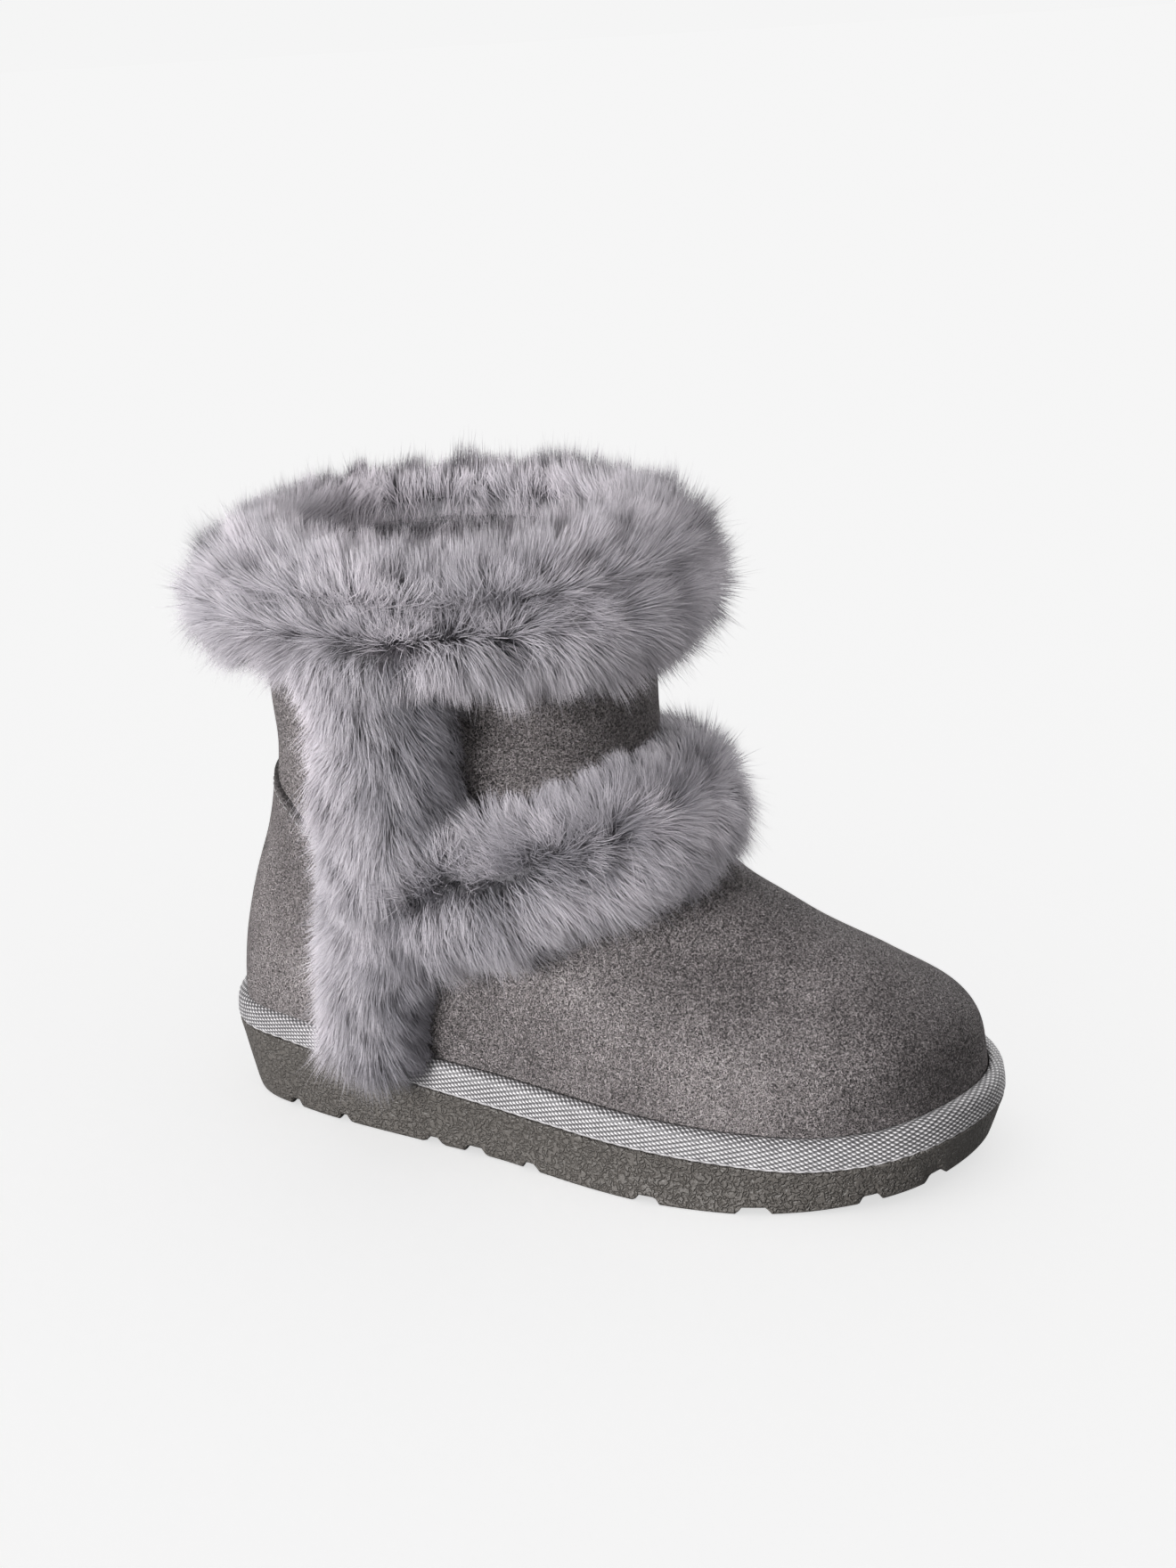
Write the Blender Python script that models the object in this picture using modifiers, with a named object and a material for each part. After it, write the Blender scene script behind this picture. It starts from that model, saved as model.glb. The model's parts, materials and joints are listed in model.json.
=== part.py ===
"""Child's pull-on winter ankle boot, right foot: suede upper, fur trims, woven foxing tape, lugged sole.

Run with Blender 4.5. Metres, +Z up, toe towards -Y, the wearer's outer (lateral) side towards -X.
The upper is one surface, upper_point(level, around): tilted rings from the sole's edge to the shaft's top,
with their front points on the vamp and shaft line and their back points on the back seam. The sole, tape,
insole, collar and fur trims are all worked out from that surface.
"""

import bmesh
import bpy
import numpy as np

# Driving sizes
OUTSOLE_LENGTH = 0.200
BALL_WIDTH = 0.079  # across the outsole at the ball of the foot
SHAFT_RISE = 0.130  # from the sole's top to the top of the suede shaft
UPPER_WALL = 0.004  # suede with its deep plush lining
GAP = 0.00035  # between neighbouring pieces

# Sole
HEEL_SOLE_HEIGHT = 0.0175
ARCH_RISE = 0.0018
TOE_SPRING = 0.0055
ARCH_START, ARCH_END = -0.005, 0.18  # along the length (of OUTSOLE_LENGTH, heel positive)
SPRING_START = -0.24
LUG_DEPTH = 0.0016
CUTTER_HEIGHT = 0.010
INSOLE_THICKNESS = 0.0036

# Fur, as the dense mass under the loose tips
STRIP_PILE = 0.010
BAND_PILE = 0.011
PAD_EDGE = 0.0022  # a pad's thickness at its edges
PAD_ROUNDNESS = 2.6
STRIP_END_POWER = 0.35  # the lower, the sooner the strip reaches its full pile over the tape
BAND_END_SHARE = 0.12  # of the band's length, over which its free end runs out

# Each row is one ring of the upper, from the feather edge up. back and front are places along the length
# (fractions of OUTSOLE_LENGTH, heel positive), rises are heights over the sole's top (of SHAFT_RISE), and
# heel, waist, ball and toe are widths at the four stations (of BALL_WIDTH). follow is how far the ring dips
# with the sole's top, swing how far it follows the last's inward curve, and oval 0 is a foot's outline and
# 1 an ellipse.
UPPER_COLUMNS = (
    "back", "back_rise", "front", "front_rise", "heel", "waist", "ball", "toe", "follow", "swing", "oval",
)
UPPER_ROWS = (
    (0.4820, 0.000, -0.4830, 0.000, 0.640, 0.677, 0.911, 0.785, 1.0, 1.00, 0.0),  # feather edge
    (0.4800, 0.071, -0.4815, 0.067, 0.652, 0.690, 0.930, 0.795, 1.0, 1.00, 0.0),  # over the tape
    (0.4735, 0.155, -0.4690, 0.159, 0.652, 0.696, 0.920, 0.735, 0.7, 0.85, 0.0),  # toe wall
    (0.4580, 0.248, -0.3930, 0.248, 0.652, 0.709, 0.823, 0.530, 0.4, 0.50, 0.1),  # toe cap
    (0.4370, 0.340, -0.2950, 0.317, 0.655, 0.740, 0.735, 0.460, 0.2, 0.30, 0.3),  # low vamp
    (0.4100, 0.440, -0.2040, 0.394, 0.664, 0.800, 0.745, 0.495, 0.0, 0.25, 0.5),  # high vamp
    (0.3950, 0.540, -0.1340, 0.490, 0.661, 0.880, 0.815, 0.560, 0.0, 0.10, 0.8),  # instep
    (0.3920, 0.640, -0.0965, 0.613, 0.648, 0.926, 0.884, 0.646, 0.0, 0.00, 1.0),  # ankle
    (0.3915, 0.802, -0.0920, 0.813, 0.645, 0.944, 0.909, 0.667, 0.0, 0.00, 1.0),  # shaft
    (0.3930, 0.986, -0.0970, 1.020, 0.658, 0.966, 0.934, 0.686, 0.0, 0.00, 1.0),  # shaft top
)
TAPE_LEVEL, COLLAR_LEVEL, TOP_LEVEL = 0.86, 8.00, len(UPPER_ROWS) - 1.0

# Stations round a ring: their place from back to front, and the last's sideways swing there (of BALL_WIDTH).
HEEL_STATION, WAIST_STATION = (0.13, 0.013), (0.42, -0.045)
BALL_STATION, TOE_STATION = (0.66, 0.004), (0.86, 0.022)
HEEL_CORNER_SWING, TOE_CORNER_SWING, TOE_TIP_SWING = 0.008, 0.050, 0.070
# Where a ring's round ends pass between the end and the nearest station: along and across, foot then ellipse.
HEEL_CORNER = ((0.30, 0.72), (0.26, 0.535))
TOE_CORNER = ((0.33, 0.69), (0.26, 0.540))
FRONT_AROUND, AROUND_END = 7.0, 14.0  # 0 is the back seam, below 7 the outer side, above 7 the inner side
SAMPLES_PER_STATION = (2, 3, 5, 5, 4, 4, 3)  # from the back seam to the toe

# The sole's top over the floor: place along the length (of OUTSOLE_LENGTH), height (of HEEL_SOLE_HEIGHT).
SOLE_TOP_ROWS = ((0.50, 1.00), (0.36, 0.99), (0.07, 0.85), (-0.16, 0.735), (-0.35, 0.75), (-0.50, 0.82))
# The sole's side from the tread up: outward from the upper's edge, share of the side's height.
SOLE_SIDE_ROWS = (
    (-0.0022, 0.00),
    (-0.0004, 0.10),
    (0.0012, 0.40),
    (0.0030, 0.82),
    (0.0034, 0.94),
    (0.0030, 1.00),
)
# Cross grooves between the lugs: place of the middle and width (of OUTSOLE_LENGTH), slant in degrees.
GROOVE_COLUMNS = ("middle", "width", "slant")
GROOVE_ROWS = (
    (0.360, 0.016, 0.0),
    (0.270, 0.017, 0.0),
    (0.145, 0.018, 3.0),
    (0.090, 0.026, 3.0),
    (0.015, 0.019, 5.0),
    (-0.130, 0.028, 6.0),
    (-0.260, 0.034, 6.0),
    (-0.355, 0.024, 3.0),
    (-0.430, 0.016, 0.0),
)

# The insole's section: inward from the upper's inner face, share of its thickness.
INSOLE_ROWS = ((0.0006, 0.0), (0.0006, 0.75), (0.0018, 1.0))

# The tape's section: level on the upper, outward from the upper.
TAPE_ROWS = (
    (0.00, GAP),
    (TAPE_LEVEL, GAP),
    (TAPE_LEVEL, 0.0014),
    (0.62, 0.0029),
    (0.30, 0.0034),
    (0.00, 0.0032),
)

# The collar's section: level on the shaft, lift over it, outward from the shaft's outer face.
COLLAR_ROWS = (
    (COLLAR_LEVEL, 0.0, GAP),
    (COLLAR_LEVEL - 0.10, 0.0, 0.0065),
    (8.04, 0.0, 0.0120),
    (8.30, 0.0, 0.0150),
    (8.60, 0.0, 0.0156),
    (8.87, 0.0, 0.0140),
    (9.00, 0.0048, 0.0105),
    (9.00, 0.0078, 0.0045),
    (9.00, 0.0086, -0.0020),
    (9.00, 0.0064, -0.0080),
    (9.00, 0.0003, -0.0102),
    (8.66, 0.0, -0.0088),
    (8.58, 0.0, -UPPER_WALL - GAP),
    (9.00, GAP, -UPPER_WALL - GAP),
    (9.00, GAP, GAP),
)

# The fur strip down the outer side: level, back edge and front edge (of OUTSOLE_LENGTH).
STRIP_ROWS = (
    (1.02, 0.2725, 0.145),
    (3.00, 0.2720, 0.130),
    (5.00, 0.2500, 0.102),
    (6.00, 0.2430, 0.088),
    (7.84, 0.2375, 0.070),
)
# The fur band over the instep: place round the ring, heights of its lower and upper edges there.
BAND_ROWS = (
    (2.8, 0.0530, 0.0880),
    (3.5, 0.0575, 0.0885),
    (4.2, 0.0640, 0.0900),
    (5.0, 0.0690, 0.0930),
    (6.0, 0.0715, 0.0965),
    (7.0, 0.0730, 0.0990),
    (8.0, 0.0720, 0.0970),
    (9.0, 0.0695, 0.0935),
    (10.2, 0.0650, 0.0885),
)
BAND_END = 0.070  # where the band ends on the inner side, along the length (of OUTSOLE_LENGTH)


def curve_between(before, start, end, after, share):
    """Point at a share of the way from start to end on the centripetal curve through four points."""
    share = share[..., None]
    first = np.sqrt(np.linalg.norm(start - before, axis=-1, keepdims=True)) + 1e-9
    middle = np.sqrt(np.linalg.norm(end - start, axis=-1, keepdims=True)) + 1e-9
    last = np.sqrt(np.linalg.norm(after - end, axis=-1, keepdims=True)) + 1e-9
    leave = (start - before) / first - (end - before) / (first + middle) + (end - start) / middle
    arrive = (end - start) / middle - (after - start) / (middle + last) + (after - end) / last
    square, cube = share**2, share**3
    return (
        (2 * cube - 3 * square + 1) * start
        + (cube - 2 * square + share) * middle * leave
        + (3 * square - 2 * cube) * end
        + (cube - square) * middle * arrive
    )


def rows_at(rows, place):
    """Rows read between their whole-number places along a smooth curve."""
    rows = np.asarray(rows, float)
    padded = np.vstack([2 * rows[0] - rows[1], rows, 2 * rows[-1] - rows[-2]])
    index = np.clip(np.floor(place).astype(int), 0, len(rows) - 2)
    near = [padded[index + step] for step in range(4)]
    return curve_between(*near, place - index)


def read_table(rows, key):
    """The other columns of a table at values of its first column."""
    rows = np.asarray(rows, float)
    order = np.argsort(rows[:, 0])
    place = np.interp(key, rows[order, 0], np.arange(len(rows), dtype=float))
    return rows_at(rows[order, 1:], place)


def sole_top(y):
    """Height of the sole's top face, which the upper, tape and insole stand on."""
    return HEEL_SOLE_HEIGHT * read_table(SOLE_TOP_ROWS, y / OUTSOLE_LENGTH)[..., 0]


def tread_height(y):
    """Height of the tread: flat heel and forefoot, a low arch, and the toe spring."""
    place = y / OUTSOLE_LENGTH
    arch = np.sin(np.pi * np.clip((place - ARCH_START) / (ARCH_END - ARCH_START), 0.0, 1.0)) ** 2
    spring = np.clip((place - SPRING_START) / (-0.5 - SPRING_START), 0.0, 1.0) ** 2
    return ARCH_RISE * arch + TOE_SPRING * spring


def ring_controls(level):
    """The 14 points that each level's ring passes through, from the back seam along the outer side."""
    row = dict(zip(UPPER_COLUMNS, rows_at(UPPER_ROWS, level).T))
    back_y, front_y = row["back"] * OUTSOLE_LENGTH, row["front"] * OUTSOLE_LENGTH
    back_z = sole_top(back_y) + GAP + row["back_rise"] * SHAFT_RISE
    front_z = sole_top(front_y) + GAP + row["front_rise"] * SHAFT_RISE
    corner = {}
    for name, (foot, ellipse) in (("heel", HEEL_CORNER), ("toe", TOE_CORNER)):
        corner[name] = [f + (e - f) * row["oval"] for f, e in zip(foot, ellipse)]
    (heel_at, heel_swing), (toe_at, toe_swing) = HEEL_STATION, TOE_STATION
    one = np.ones_like(level)
    stations = (
        (0.0 * one, 0.0 * one, 0.0),
        (heel_at * corner["heel"][0], row["heel"] * corner["heel"][1], HEEL_CORNER_SWING),
        (heel_at * one, row["heel"], heel_swing),
        (WAIST_STATION[0] * one, row["waist"], WAIST_STATION[1]),
        (BALL_STATION[0] * one, row["ball"], BALL_STATION[1]),
        (toe_at * one, row["toe"], toe_swing),
        (1.0 - (1.0 - toe_at) * corner["toe"][0], row["toe"] * corner["toe"][1], TOE_CORNER_SWING),
        (one, 0.0 * one, TOE_TIP_SWING),
    )
    sides = [(station, -0.5) for station in stations] + [(station, 0.5) for station in stations[6:0:-1]]
    points = []
    for (along, width, swing), side in sides:
        y = back_y + (front_y - back_y) * along
        line = sole_top(back_y) + (sole_top(front_y) - sole_top(back_y)) * along
        z = back_z + (front_z - back_z) * along + row["follow"] * (sole_top(y) - line)
        x = BALL_WIDTH * (swing * row["swing"] + side * width)
        points.append(np.stack([x, y, z], axis=-1))
    return np.stack(points, axis=-2)


def upper_point(level, around):
    """Points of the upper's outer face."""
    level, around = np.broadcast_arrays(np.asarray(level, float), np.asarray(around, float))
    controls = ring_controls(level.ravel())
    flat = np.mod(around.ravel(), AROUND_END)
    index = np.floor(flat).astype(int)
    pick = np.arange(len(flat))
    near = [controls[pick, (index + step) % int(AROUND_END)] for step in (-1, 0, 1, 2)]
    return curve_between(*near, flat - index).reshape(level.shape + (3,))


def upper_normal(level, around):
    """Outward directions of the upper's outer face."""
    step = 1e-3
    level, around = np.broadcast_arrays(np.asarray(level, float), np.asarray(around, float))
    low, high = np.clip(level - step, 0.0, TOP_LEVEL), np.clip(level + step, 0.0, TOP_LEVEL)
    up = upper_point(high, around) - upper_point(low, around)
    along = upper_point(level, around + step) - upper_point(level, around - step)
    normal = np.cross(along, up)
    return normal / np.linalg.norm(normal, axis=-1, keepdims=True)


def level_normal(level, around):
    """Outward directions laid level, for pieces that are built out from the upper in plan."""
    normal = upper_normal(level, around) * (1.0, 1.0, 0.0)
    return normal / np.linalg.norm(normal, axis=-1, keepdims=True)


def around_samples():
    """Places round a ring, closer together at its round ends."""
    half = [i + np.arange(count) / count for i, count in enumerate(SAMPLES_PER_STATION)]
    half = np.concatenate(half)
    return np.concatenate([half, [FRONT_AROUND], AROUND_END - half[:0:-1]])


def ring_quads(rings, count):
    """Faces that join each ring of a closed loop to the next, for rings listed upwards."""
    low = np.arange(rings - 1)[:, None] * count
    here = np.arange(count)[None, :]
    then = (here + 1) % count
    return np.stack([low + here, low + then, low + count + then, low + count + here], -1).reshape(-1, 4)


def strip_cap(start, count, upwards):
    """Faces across a closed loop, each from the outer side to the inner side."""
    faces = []
    for i in range(count // 2):
        ring = [start + i, start + i + 1, start + (count - i - 1) % count, start + (count - i) % count]
        ring = list(dict.fromkeys(ring))
        faces.append(ring if upwards else ring[::-1])
    return faces


def add_object(name, points, faces, collection, material, closed=True):
    """A mesh object, with its faces turned to point out if it is closed."""
    mesh = bpy.data.meshes.new(name)
    mesh.from_pydata(np.asarray(points).reshape(-1, 3).tolist(), [], [list(map(int, face)) for face in faces])
    piece = bpy.data.objects.new(name, mesh)
    collection.objects.link(piece)
    if closed:
        work = bmesh.new()
        work.from_mesh(mesh)
        bmesh.ops.recalc_face_normals(work, faces=work.faces)
        work.to_mesh(mesh)
        work.free()
    mesh.materials.append(material)
    mesh.shade_smooth()
    return piece


def new_material(name, colour, roughness):
    """A Principled material in one plain colour."""
    material = bpy.data.materials.new(name)
    material.use_nodes = True
    shader = material.node_tree.nodes["Principled BSDF"]
    shader.inputs["Base Color"].default_value = (*colour, 1.0)
    shader.inputs["Roughness"].default_value = roughness
    shader.inputs["Metallic"].default_value = 0.0
    return material


def upper(collection, material):
    """The hollow upper: an open surface, closed into one wall by Solidify, open at the collar and below."""
    around = around_samples()
    levels = np.linspace(0.0, TOP_LEVEL, 25)
    points = upper_point(levels[:, None], around[None, :])
    faces = ring_quads(len(levels), len(around))
    piece = add_object("upper", points, faces, collection, material, closed=False)
    wall = piece.modifiers.new("wall", "SOLIDIFY")
    wall.thickness = UPPER_WALL
    wall.offset = -1.0
    wall.use_even_offset = True
    return piece


def edge_point(around, outward, height):
    """Points set out in plan from the upper's feather edge, at a height that is given for their place."""
    points = upper_point(0.0, around) + level_normal(0.0, around) * outward
    points[..., 2] = height(points[..., 1])
    return points


def groove_cutter(middle, width, slant, collection):
    """A block that cuts one groove across the tread, to LUG_DEPTH over the tread there."""
    place = middle * OUTSOLE_LENGTH
    top = float(tread_height(np.array(place))) + LUG_DEPTH
    bpy.ops.mesh.primitive_cube_add(size=1.0)
    cutter = bpy.context.object
    cutter.name = "groove_cutter"
    cutter.scale = (2.0 * BALL_WIDTH, width * OUTSOLE_LENGTH, CUTTER_HEIGHT)
    cutter.location = (0.0, place, top - CUTTER_HEIGHT / 2)
    cutter.rotation_euler = (0.0, 0.0, np.radians(slant))
    cutter.display_type = "WIRE"
    cutter.hide_render = True
    for owner in list(cutter.users_collection):
        owner.objects.unlink(cutter)
    collection.objects.link(cutter)
    return cutter


def outsole(collection, cutters, material):
    """The moulded sole: its outline stands out past the upper, its side leans in towards the tread."""
    around = around_samples()
    rings = []
    for outward, share in SOLE_SIDE_ROWS:
        rings.append(
            edge_point(around, outward, lambda y: tread_height(y) + share * (sole_top(y) - tread_height(y)))
        )
    count = len(around)
    faces = list(ring_quads(len(rings), count))
    faces += strip_cap(0, count, upwards=False) + strip_cap((len(rings) - 1) * count, count, upwards=True)
    piece = add_object("outsole", np.stack(rings), faces, collection, material)
    for row in GROOVE_ROWS:
        groove = piece.modifiers.new("groove", "BOOLEAN")
        groove.operation = "DIFFERENCE"
        groove.solver = "EXACT"
        groove.object = groove_cutter(**dict(zip(GROOVE_COLUMNS, row)), collection=cutters)
    return piece


def insole(collection, material):
    """The footbed, lying on the sole's top inside the upper's wall."""
    around = around_samples()
    rings = []
    for inward, share in INSOLE_ROWS:
        rise = GAP + share * INSOLE_THICKNESS
        rings.append(edge_point(around, -UPPER_WALL - inward, lambda y: sole_top(y) + rise))
    count = len(around)
    faces = list(ring_quads(len(rings), count))
    faces += strip_cap(0, count, upwards=False) + strip_cap((len(rings) - 1) * count, count, upwards=True)
    return add_object("insole", np.stack(rings), faces, collection, material)


def closed_section_ring(name, rows, collection, material):
    """A ring round the upper, whose closed section is given as level, lift and outward."""
    around = around_samples()
    loops = []
    for level, lift, outward in rows:
        points = upper_point(level, around) + level_normal(level, around) * outward
        loops.append(points + (0.0, 0.0, lift))
    loops.append(loops[0])
    count = len(around)
    faces = ring_quads(len(loops), count)
    faces = faces % (count * (len(loops) - 1))
    return add_object(name, np.stack(loops[:-1]), faces, collection, material)


def foxing_tape(collection, material):
    """The woven tape round the bottom of the upper, standing on the sole's edge."""
    rows = [(level, 0.0, outward) for level, outward in TAPE_ROWS]
    return closed_section_ring("foxing_tape", rows, collection, material)


def fur_collar(collection, material):
    """The fur cuff: out round the shaft, over its top and a little way down inside."""
    return closed_section_ring("fur_collar", COLLAR_ROWS, collection, material)


def side_around(level, y, inner=False):
    """The place round a ring, on the outer or inner side, that lies at y along the length."""
    fine = np.linspace(0.5, 6.5, 241)
    if inner:
        fine = AROUND_END - fine
    level, y = np.broadcast_arrays(level, y)
    found = [
        np.interp(-place, -upper_point(one_level, fine)[:, 1], fine)
        for one_level, place in zip(level.ravel(), y.ravel())
    ]
    return np.array(found).reshape(level.shape)


def level_at(around, height):
    """The level at which the place round the upper reaches a height."""
    fine = np.linspace(0.0, TOP_LEVEL, 181)
    around, height = np.broadcast_arrays(around, height)
    found = [
        np.interp(one_height, upper_point(fine, place)[:, 2], fine)
        for place, one_height in zip(around.ravel(), height.ravel())
    ]
    return np.array(found).reshape(around.shape)


def pile_shape(across):
    """Height of a fur pad over its width, from -1 to 1, as a share of its pile."""
    return np.sqrt(np.clip(1.0 - np.abs(across) ** PAD_ROUNDNESS, 0.0, 1.0))


def fur_pad(name, level, around, pile, collection, material):
    """A pad of fur on the upper: its back follows the upper's face, its front stands out by the pile."""
    face, normal = upper_point(level, around), upper_normal(level, around)
    back = face + normal * GAP
    front = face + normal * (GAP + PAD_EDGE + pile)[..., None]
    rows, columns = level.shape
    count = rows * columns
    low = (np.arange(rows - 1)[:, None] * columns + np.arange(columns - 1)[None, :]).ravel()
    quads = np.stack([low, low + 1, low + columns + 1, low + columns], -1)
    index = np.arange(count).reshape(rows, columns)
    border = np.concatenate([index[0, :-1], index[:-1, -1], index[-1, :0:-1], index[:0:-1, 0]])
    after = np.roll(border, -1)
    walls = np.stack([border, after, after + count, border + count], -1)
    faces = np.concatenate([quads[:, ::-1], quads + count, walls])
    points = np.concatenate([back.reshape(-1, 3), front.reshape(-1, 3)])
    return add_object(name, points, faces, collection, material)


def strip_edges(level):
    """Back and front edges of the side strip at a level, as places along the length."""
    edges = read_table(STRIP_ROWS, level) * OUTSOLE_LENGTH
    return edges[..., 0], edges[..., 1]


def fur_side_strip(collection, material):
    """The fur strip down the outer side, from under the collar to the tape."""
    level = np.linspace(STRIP_ROWS[0][0], STRIP_ROWS[-1][0], 17)[:, None]
    across = np.linspace(-1.0, 1.0, 11)[None, :]
    back_edge, front_edge = strip_edges(level)
    place = (back_edge + front_edge) / 2 - (back_edge - front_edge) / 2 * across
    level = np.broadcast_to(level, place.shape)
    around = side_around(level, place)
    ends = pile_shape(np.linspace(-1.0, 0.0, len(level)))[:, None] ** STRIP_END_POWER
    pile = STRIP_PILE * pile_shape(across) * ends
    return fur_pad("fur_side_strip", level, around, pile, collection, material)


def fur_instep_band(collection, material):
    """The fur band: from the side strip's front edge, over the instep, to the inner side."""
    steps, across = np.linspace(0.0, 1.0, 25)[:, None], np.linspace(-1.0, 1.0, 11)[None, :]
    around = BAND_ROWS[1][0] + (BAND_ROWS[-1][0] - BAND_ROWS[1][0]) * steps + 0.0 * across
    for _ in range(4):  # each round brings the band's ends nearer to the places they stop at
        low, high = np.moveaxis(read_table(BAND_ROWS, around), -1, 0)
        level = level_at(around, low + (high - low) * (across + 1) / 2)
        first = side_around(level[:1], strip_edges(level[:1])[1] - 2 * GAP)
        last = side_around(level[-1:], BAND_END * OUTSOLE_LENGTH, inner=True)
        around = first + (last - first) * steps
    ends = pile_shape(np.clip((steps - 1.0 + BAND_END_SHARE) / BAND_END_SHARE, 0.0, 1.0))
    pile = BAND_PILE * pile_shape(across) * ends
    return fur_pad("fur_instep_band", level, around, pile, collection, material)


def put_origin_under_middle(pieces, cutters):
    """Moves the boot so that the origin is on the floor under the middle of its box."""
    corners = np.array([vertex.co for piece in pieces for vertex in piece.data.vertices])
    middle = (corners.min(axis=0) + corners.max(axis=0)) / 2
    for piece in pieces + cutters:
        piece.location.x -= middle[0]
        piece.location.y -= middle[1]


def main():
    for leftover in list(bpy.data.objects):
        bpy.data.objects.remove(leftover, do_unlink=True)
    boot = bpy.data.collections.new("fur_trimmed_boot")
    cutters = bpy.data.collections.new("cutters")
    bpy.context.scene.collection.children.link(boot)
    bpy.context.scene.collection.children.link(cutters)
    suede = new_material("grey_suede", (0.155, 0.145, 0.140), 0.9)
    fur = new_material("grey_fur", (0.36, 0.35, 0.38), 0.95)
    woven = new_material("woven_tape", (0.40, 0.40, 0.42), 0.7)
    rubber = new_material("sole_rubber", (0.115, 0.105, 0.098), 0.8)
    plush = new_material("insole_plush", (0.30, 0.29, 0.31), 0.95)
    pieces = [
        outsole(boot, cutters, rubber),
        upper(boot, suede),
        insole(boot, plush),
        foxing_tape(boot, woven),
        fur_collar(boot, fur),
        fur_side_strip(boot, fur),
        fur_instep_band(boot, fur),
    ]
    put_origin_under_middle(pieces, list(cutters.objects))


main()
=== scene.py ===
# The right boot of a child's winter pair: grey suede upper, plush trims, twill tape and a lugged sole.
# The shapes follow the last's own sizes, in metres: +Z up, toe towards -Y, the outer side towards -X.
import json

import bmesh
import bpy
import numpy as np
from mathutils import Matrix, Vector

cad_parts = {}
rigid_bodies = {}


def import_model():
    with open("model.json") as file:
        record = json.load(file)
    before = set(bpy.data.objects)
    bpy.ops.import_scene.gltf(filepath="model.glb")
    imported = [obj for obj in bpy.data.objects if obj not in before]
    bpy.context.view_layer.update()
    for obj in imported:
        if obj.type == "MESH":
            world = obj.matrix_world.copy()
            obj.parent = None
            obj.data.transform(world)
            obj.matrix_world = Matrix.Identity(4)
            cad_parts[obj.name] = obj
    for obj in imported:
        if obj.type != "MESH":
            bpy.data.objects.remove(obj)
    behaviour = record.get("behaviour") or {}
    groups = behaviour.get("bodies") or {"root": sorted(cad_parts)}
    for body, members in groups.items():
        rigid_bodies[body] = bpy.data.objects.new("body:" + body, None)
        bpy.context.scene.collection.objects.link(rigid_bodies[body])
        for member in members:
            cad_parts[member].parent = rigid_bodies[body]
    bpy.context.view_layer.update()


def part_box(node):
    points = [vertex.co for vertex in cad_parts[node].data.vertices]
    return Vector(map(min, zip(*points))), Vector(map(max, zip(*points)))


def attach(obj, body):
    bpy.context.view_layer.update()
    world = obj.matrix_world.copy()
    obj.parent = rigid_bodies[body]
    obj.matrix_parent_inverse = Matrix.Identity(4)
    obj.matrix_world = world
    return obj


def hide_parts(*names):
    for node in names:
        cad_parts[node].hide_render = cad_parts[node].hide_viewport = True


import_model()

print("frame loaded")

# The last comes first: rings of the upper from the feather edge up, and the sole under them.
lastShape = {
    "length": 0.200,
    "ballWidth": 0.079,  # across the outsole at the ball
    "shaftRise": 0.130,  # from the sole's top to the shaft's top
    "wall": 0.004,  # suede and lining together
    "suede": 0.0016,  # the suede alone
    "gap": 0.00035,  # between the sole's top and what stands on it
    "heelSole": 0.0175,  # the sole's height at the heel
    "archRise": 0.0018,
    "toeSpring": 0.0055,
    "tapeLevel": 0.86,  # levels count the rings below, from 0 at the feather edge
    "topLevel": 9.0,
    "frontAround": 7.0,  # places round a ring: 0 is the back, below 7 the outer side, above 7 the inner
    "endAround": 14.0,
}
# back and front are places along the length (heel positive), rises are over the sole's top (of shaftRise),
# then widths at four stations (of ballWidth), how far the ring dips with the sole, how far it follows the
# last's inward curve, and how near it is to an ellipse.
ringRows = np.array(
    [
        # back, back rise, front, front rise, heel, waist, ball, toe, follow, swing, oval
        (0.4820, 0.000, -0.4830, 0.000, 0.640, 0.677, 0.911, 0.785, 1.0, 1.00, 0.0),  # feather edge
        (0.4800, 0.071, -0.4815, 0.067, 0.652, 0.690, 0.930, 0.795, 1.0, 1.00, 0.0),  # over the tape
        (0.4735, 0.155, -0.4690, 0.159, 0.652, 0.696, 0.920, 0.735, 0.7, 0.85, 0.0),  # toe wall
        (0.4580, 0.248, -0.3930, 0.248, 0.652, 0.709, 0.823, 0.530, 0.4, 0.50, 0.1),  # toe cap
        (0.4370, 0.340, -0.2950, 0.317, 0.655, 0.740, 0.735, 0.460, 0.2, 0.30, 0.3),  # low vamp
        (0.4100, 0.440, -0.2040, 0.394, 0.664, 0.800, 0.745, 0.495, 0.0, 0.25, 0.5),  # high vamp
        (0.3950, 0.540, -0.1340, 0.490, 0.661, 0.880, 0.815, 0.560, 0.0, 0.10, 0.8),  # instep
        (0.3920, 0.640, -0.0965, 0.613, 0.648, 0.926, 0.884, 0.646, 0.0, 0.00, 1.0),  # ankle
        (0.3915, 0.802, -0.0920, 0.813, 0.645, 0.944, 0.909, 0.667, 0.0, 0.00, 1.0),  # shaft
        (0.3930, 0.986, -0.0970, 1.020, 0.658, 0.966, 0.934, 0.686, 0.0, 0.00, 1.0),  # shaft top
    ]
)
# station: place from back to front, sideways swing of the last there (of ballWidth)
stations = {"heel": (0.13, 0.013), "waist": (0.42, -0.045), "ball": (0.66, 0.004), "toe": (0.86, 0.022)}
endSwings = {"heelCorner": 0.008, "toeCorner": 0.050, "toeTip": 0.070}
# corner: its place and width on a foot's outline, and on an ellipse
cornerShape = {"heel": ((0.30, 0.72), (0.26, 0.535)), "toe": ((0.33, 0.69), (0.26, 0.540))}
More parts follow.
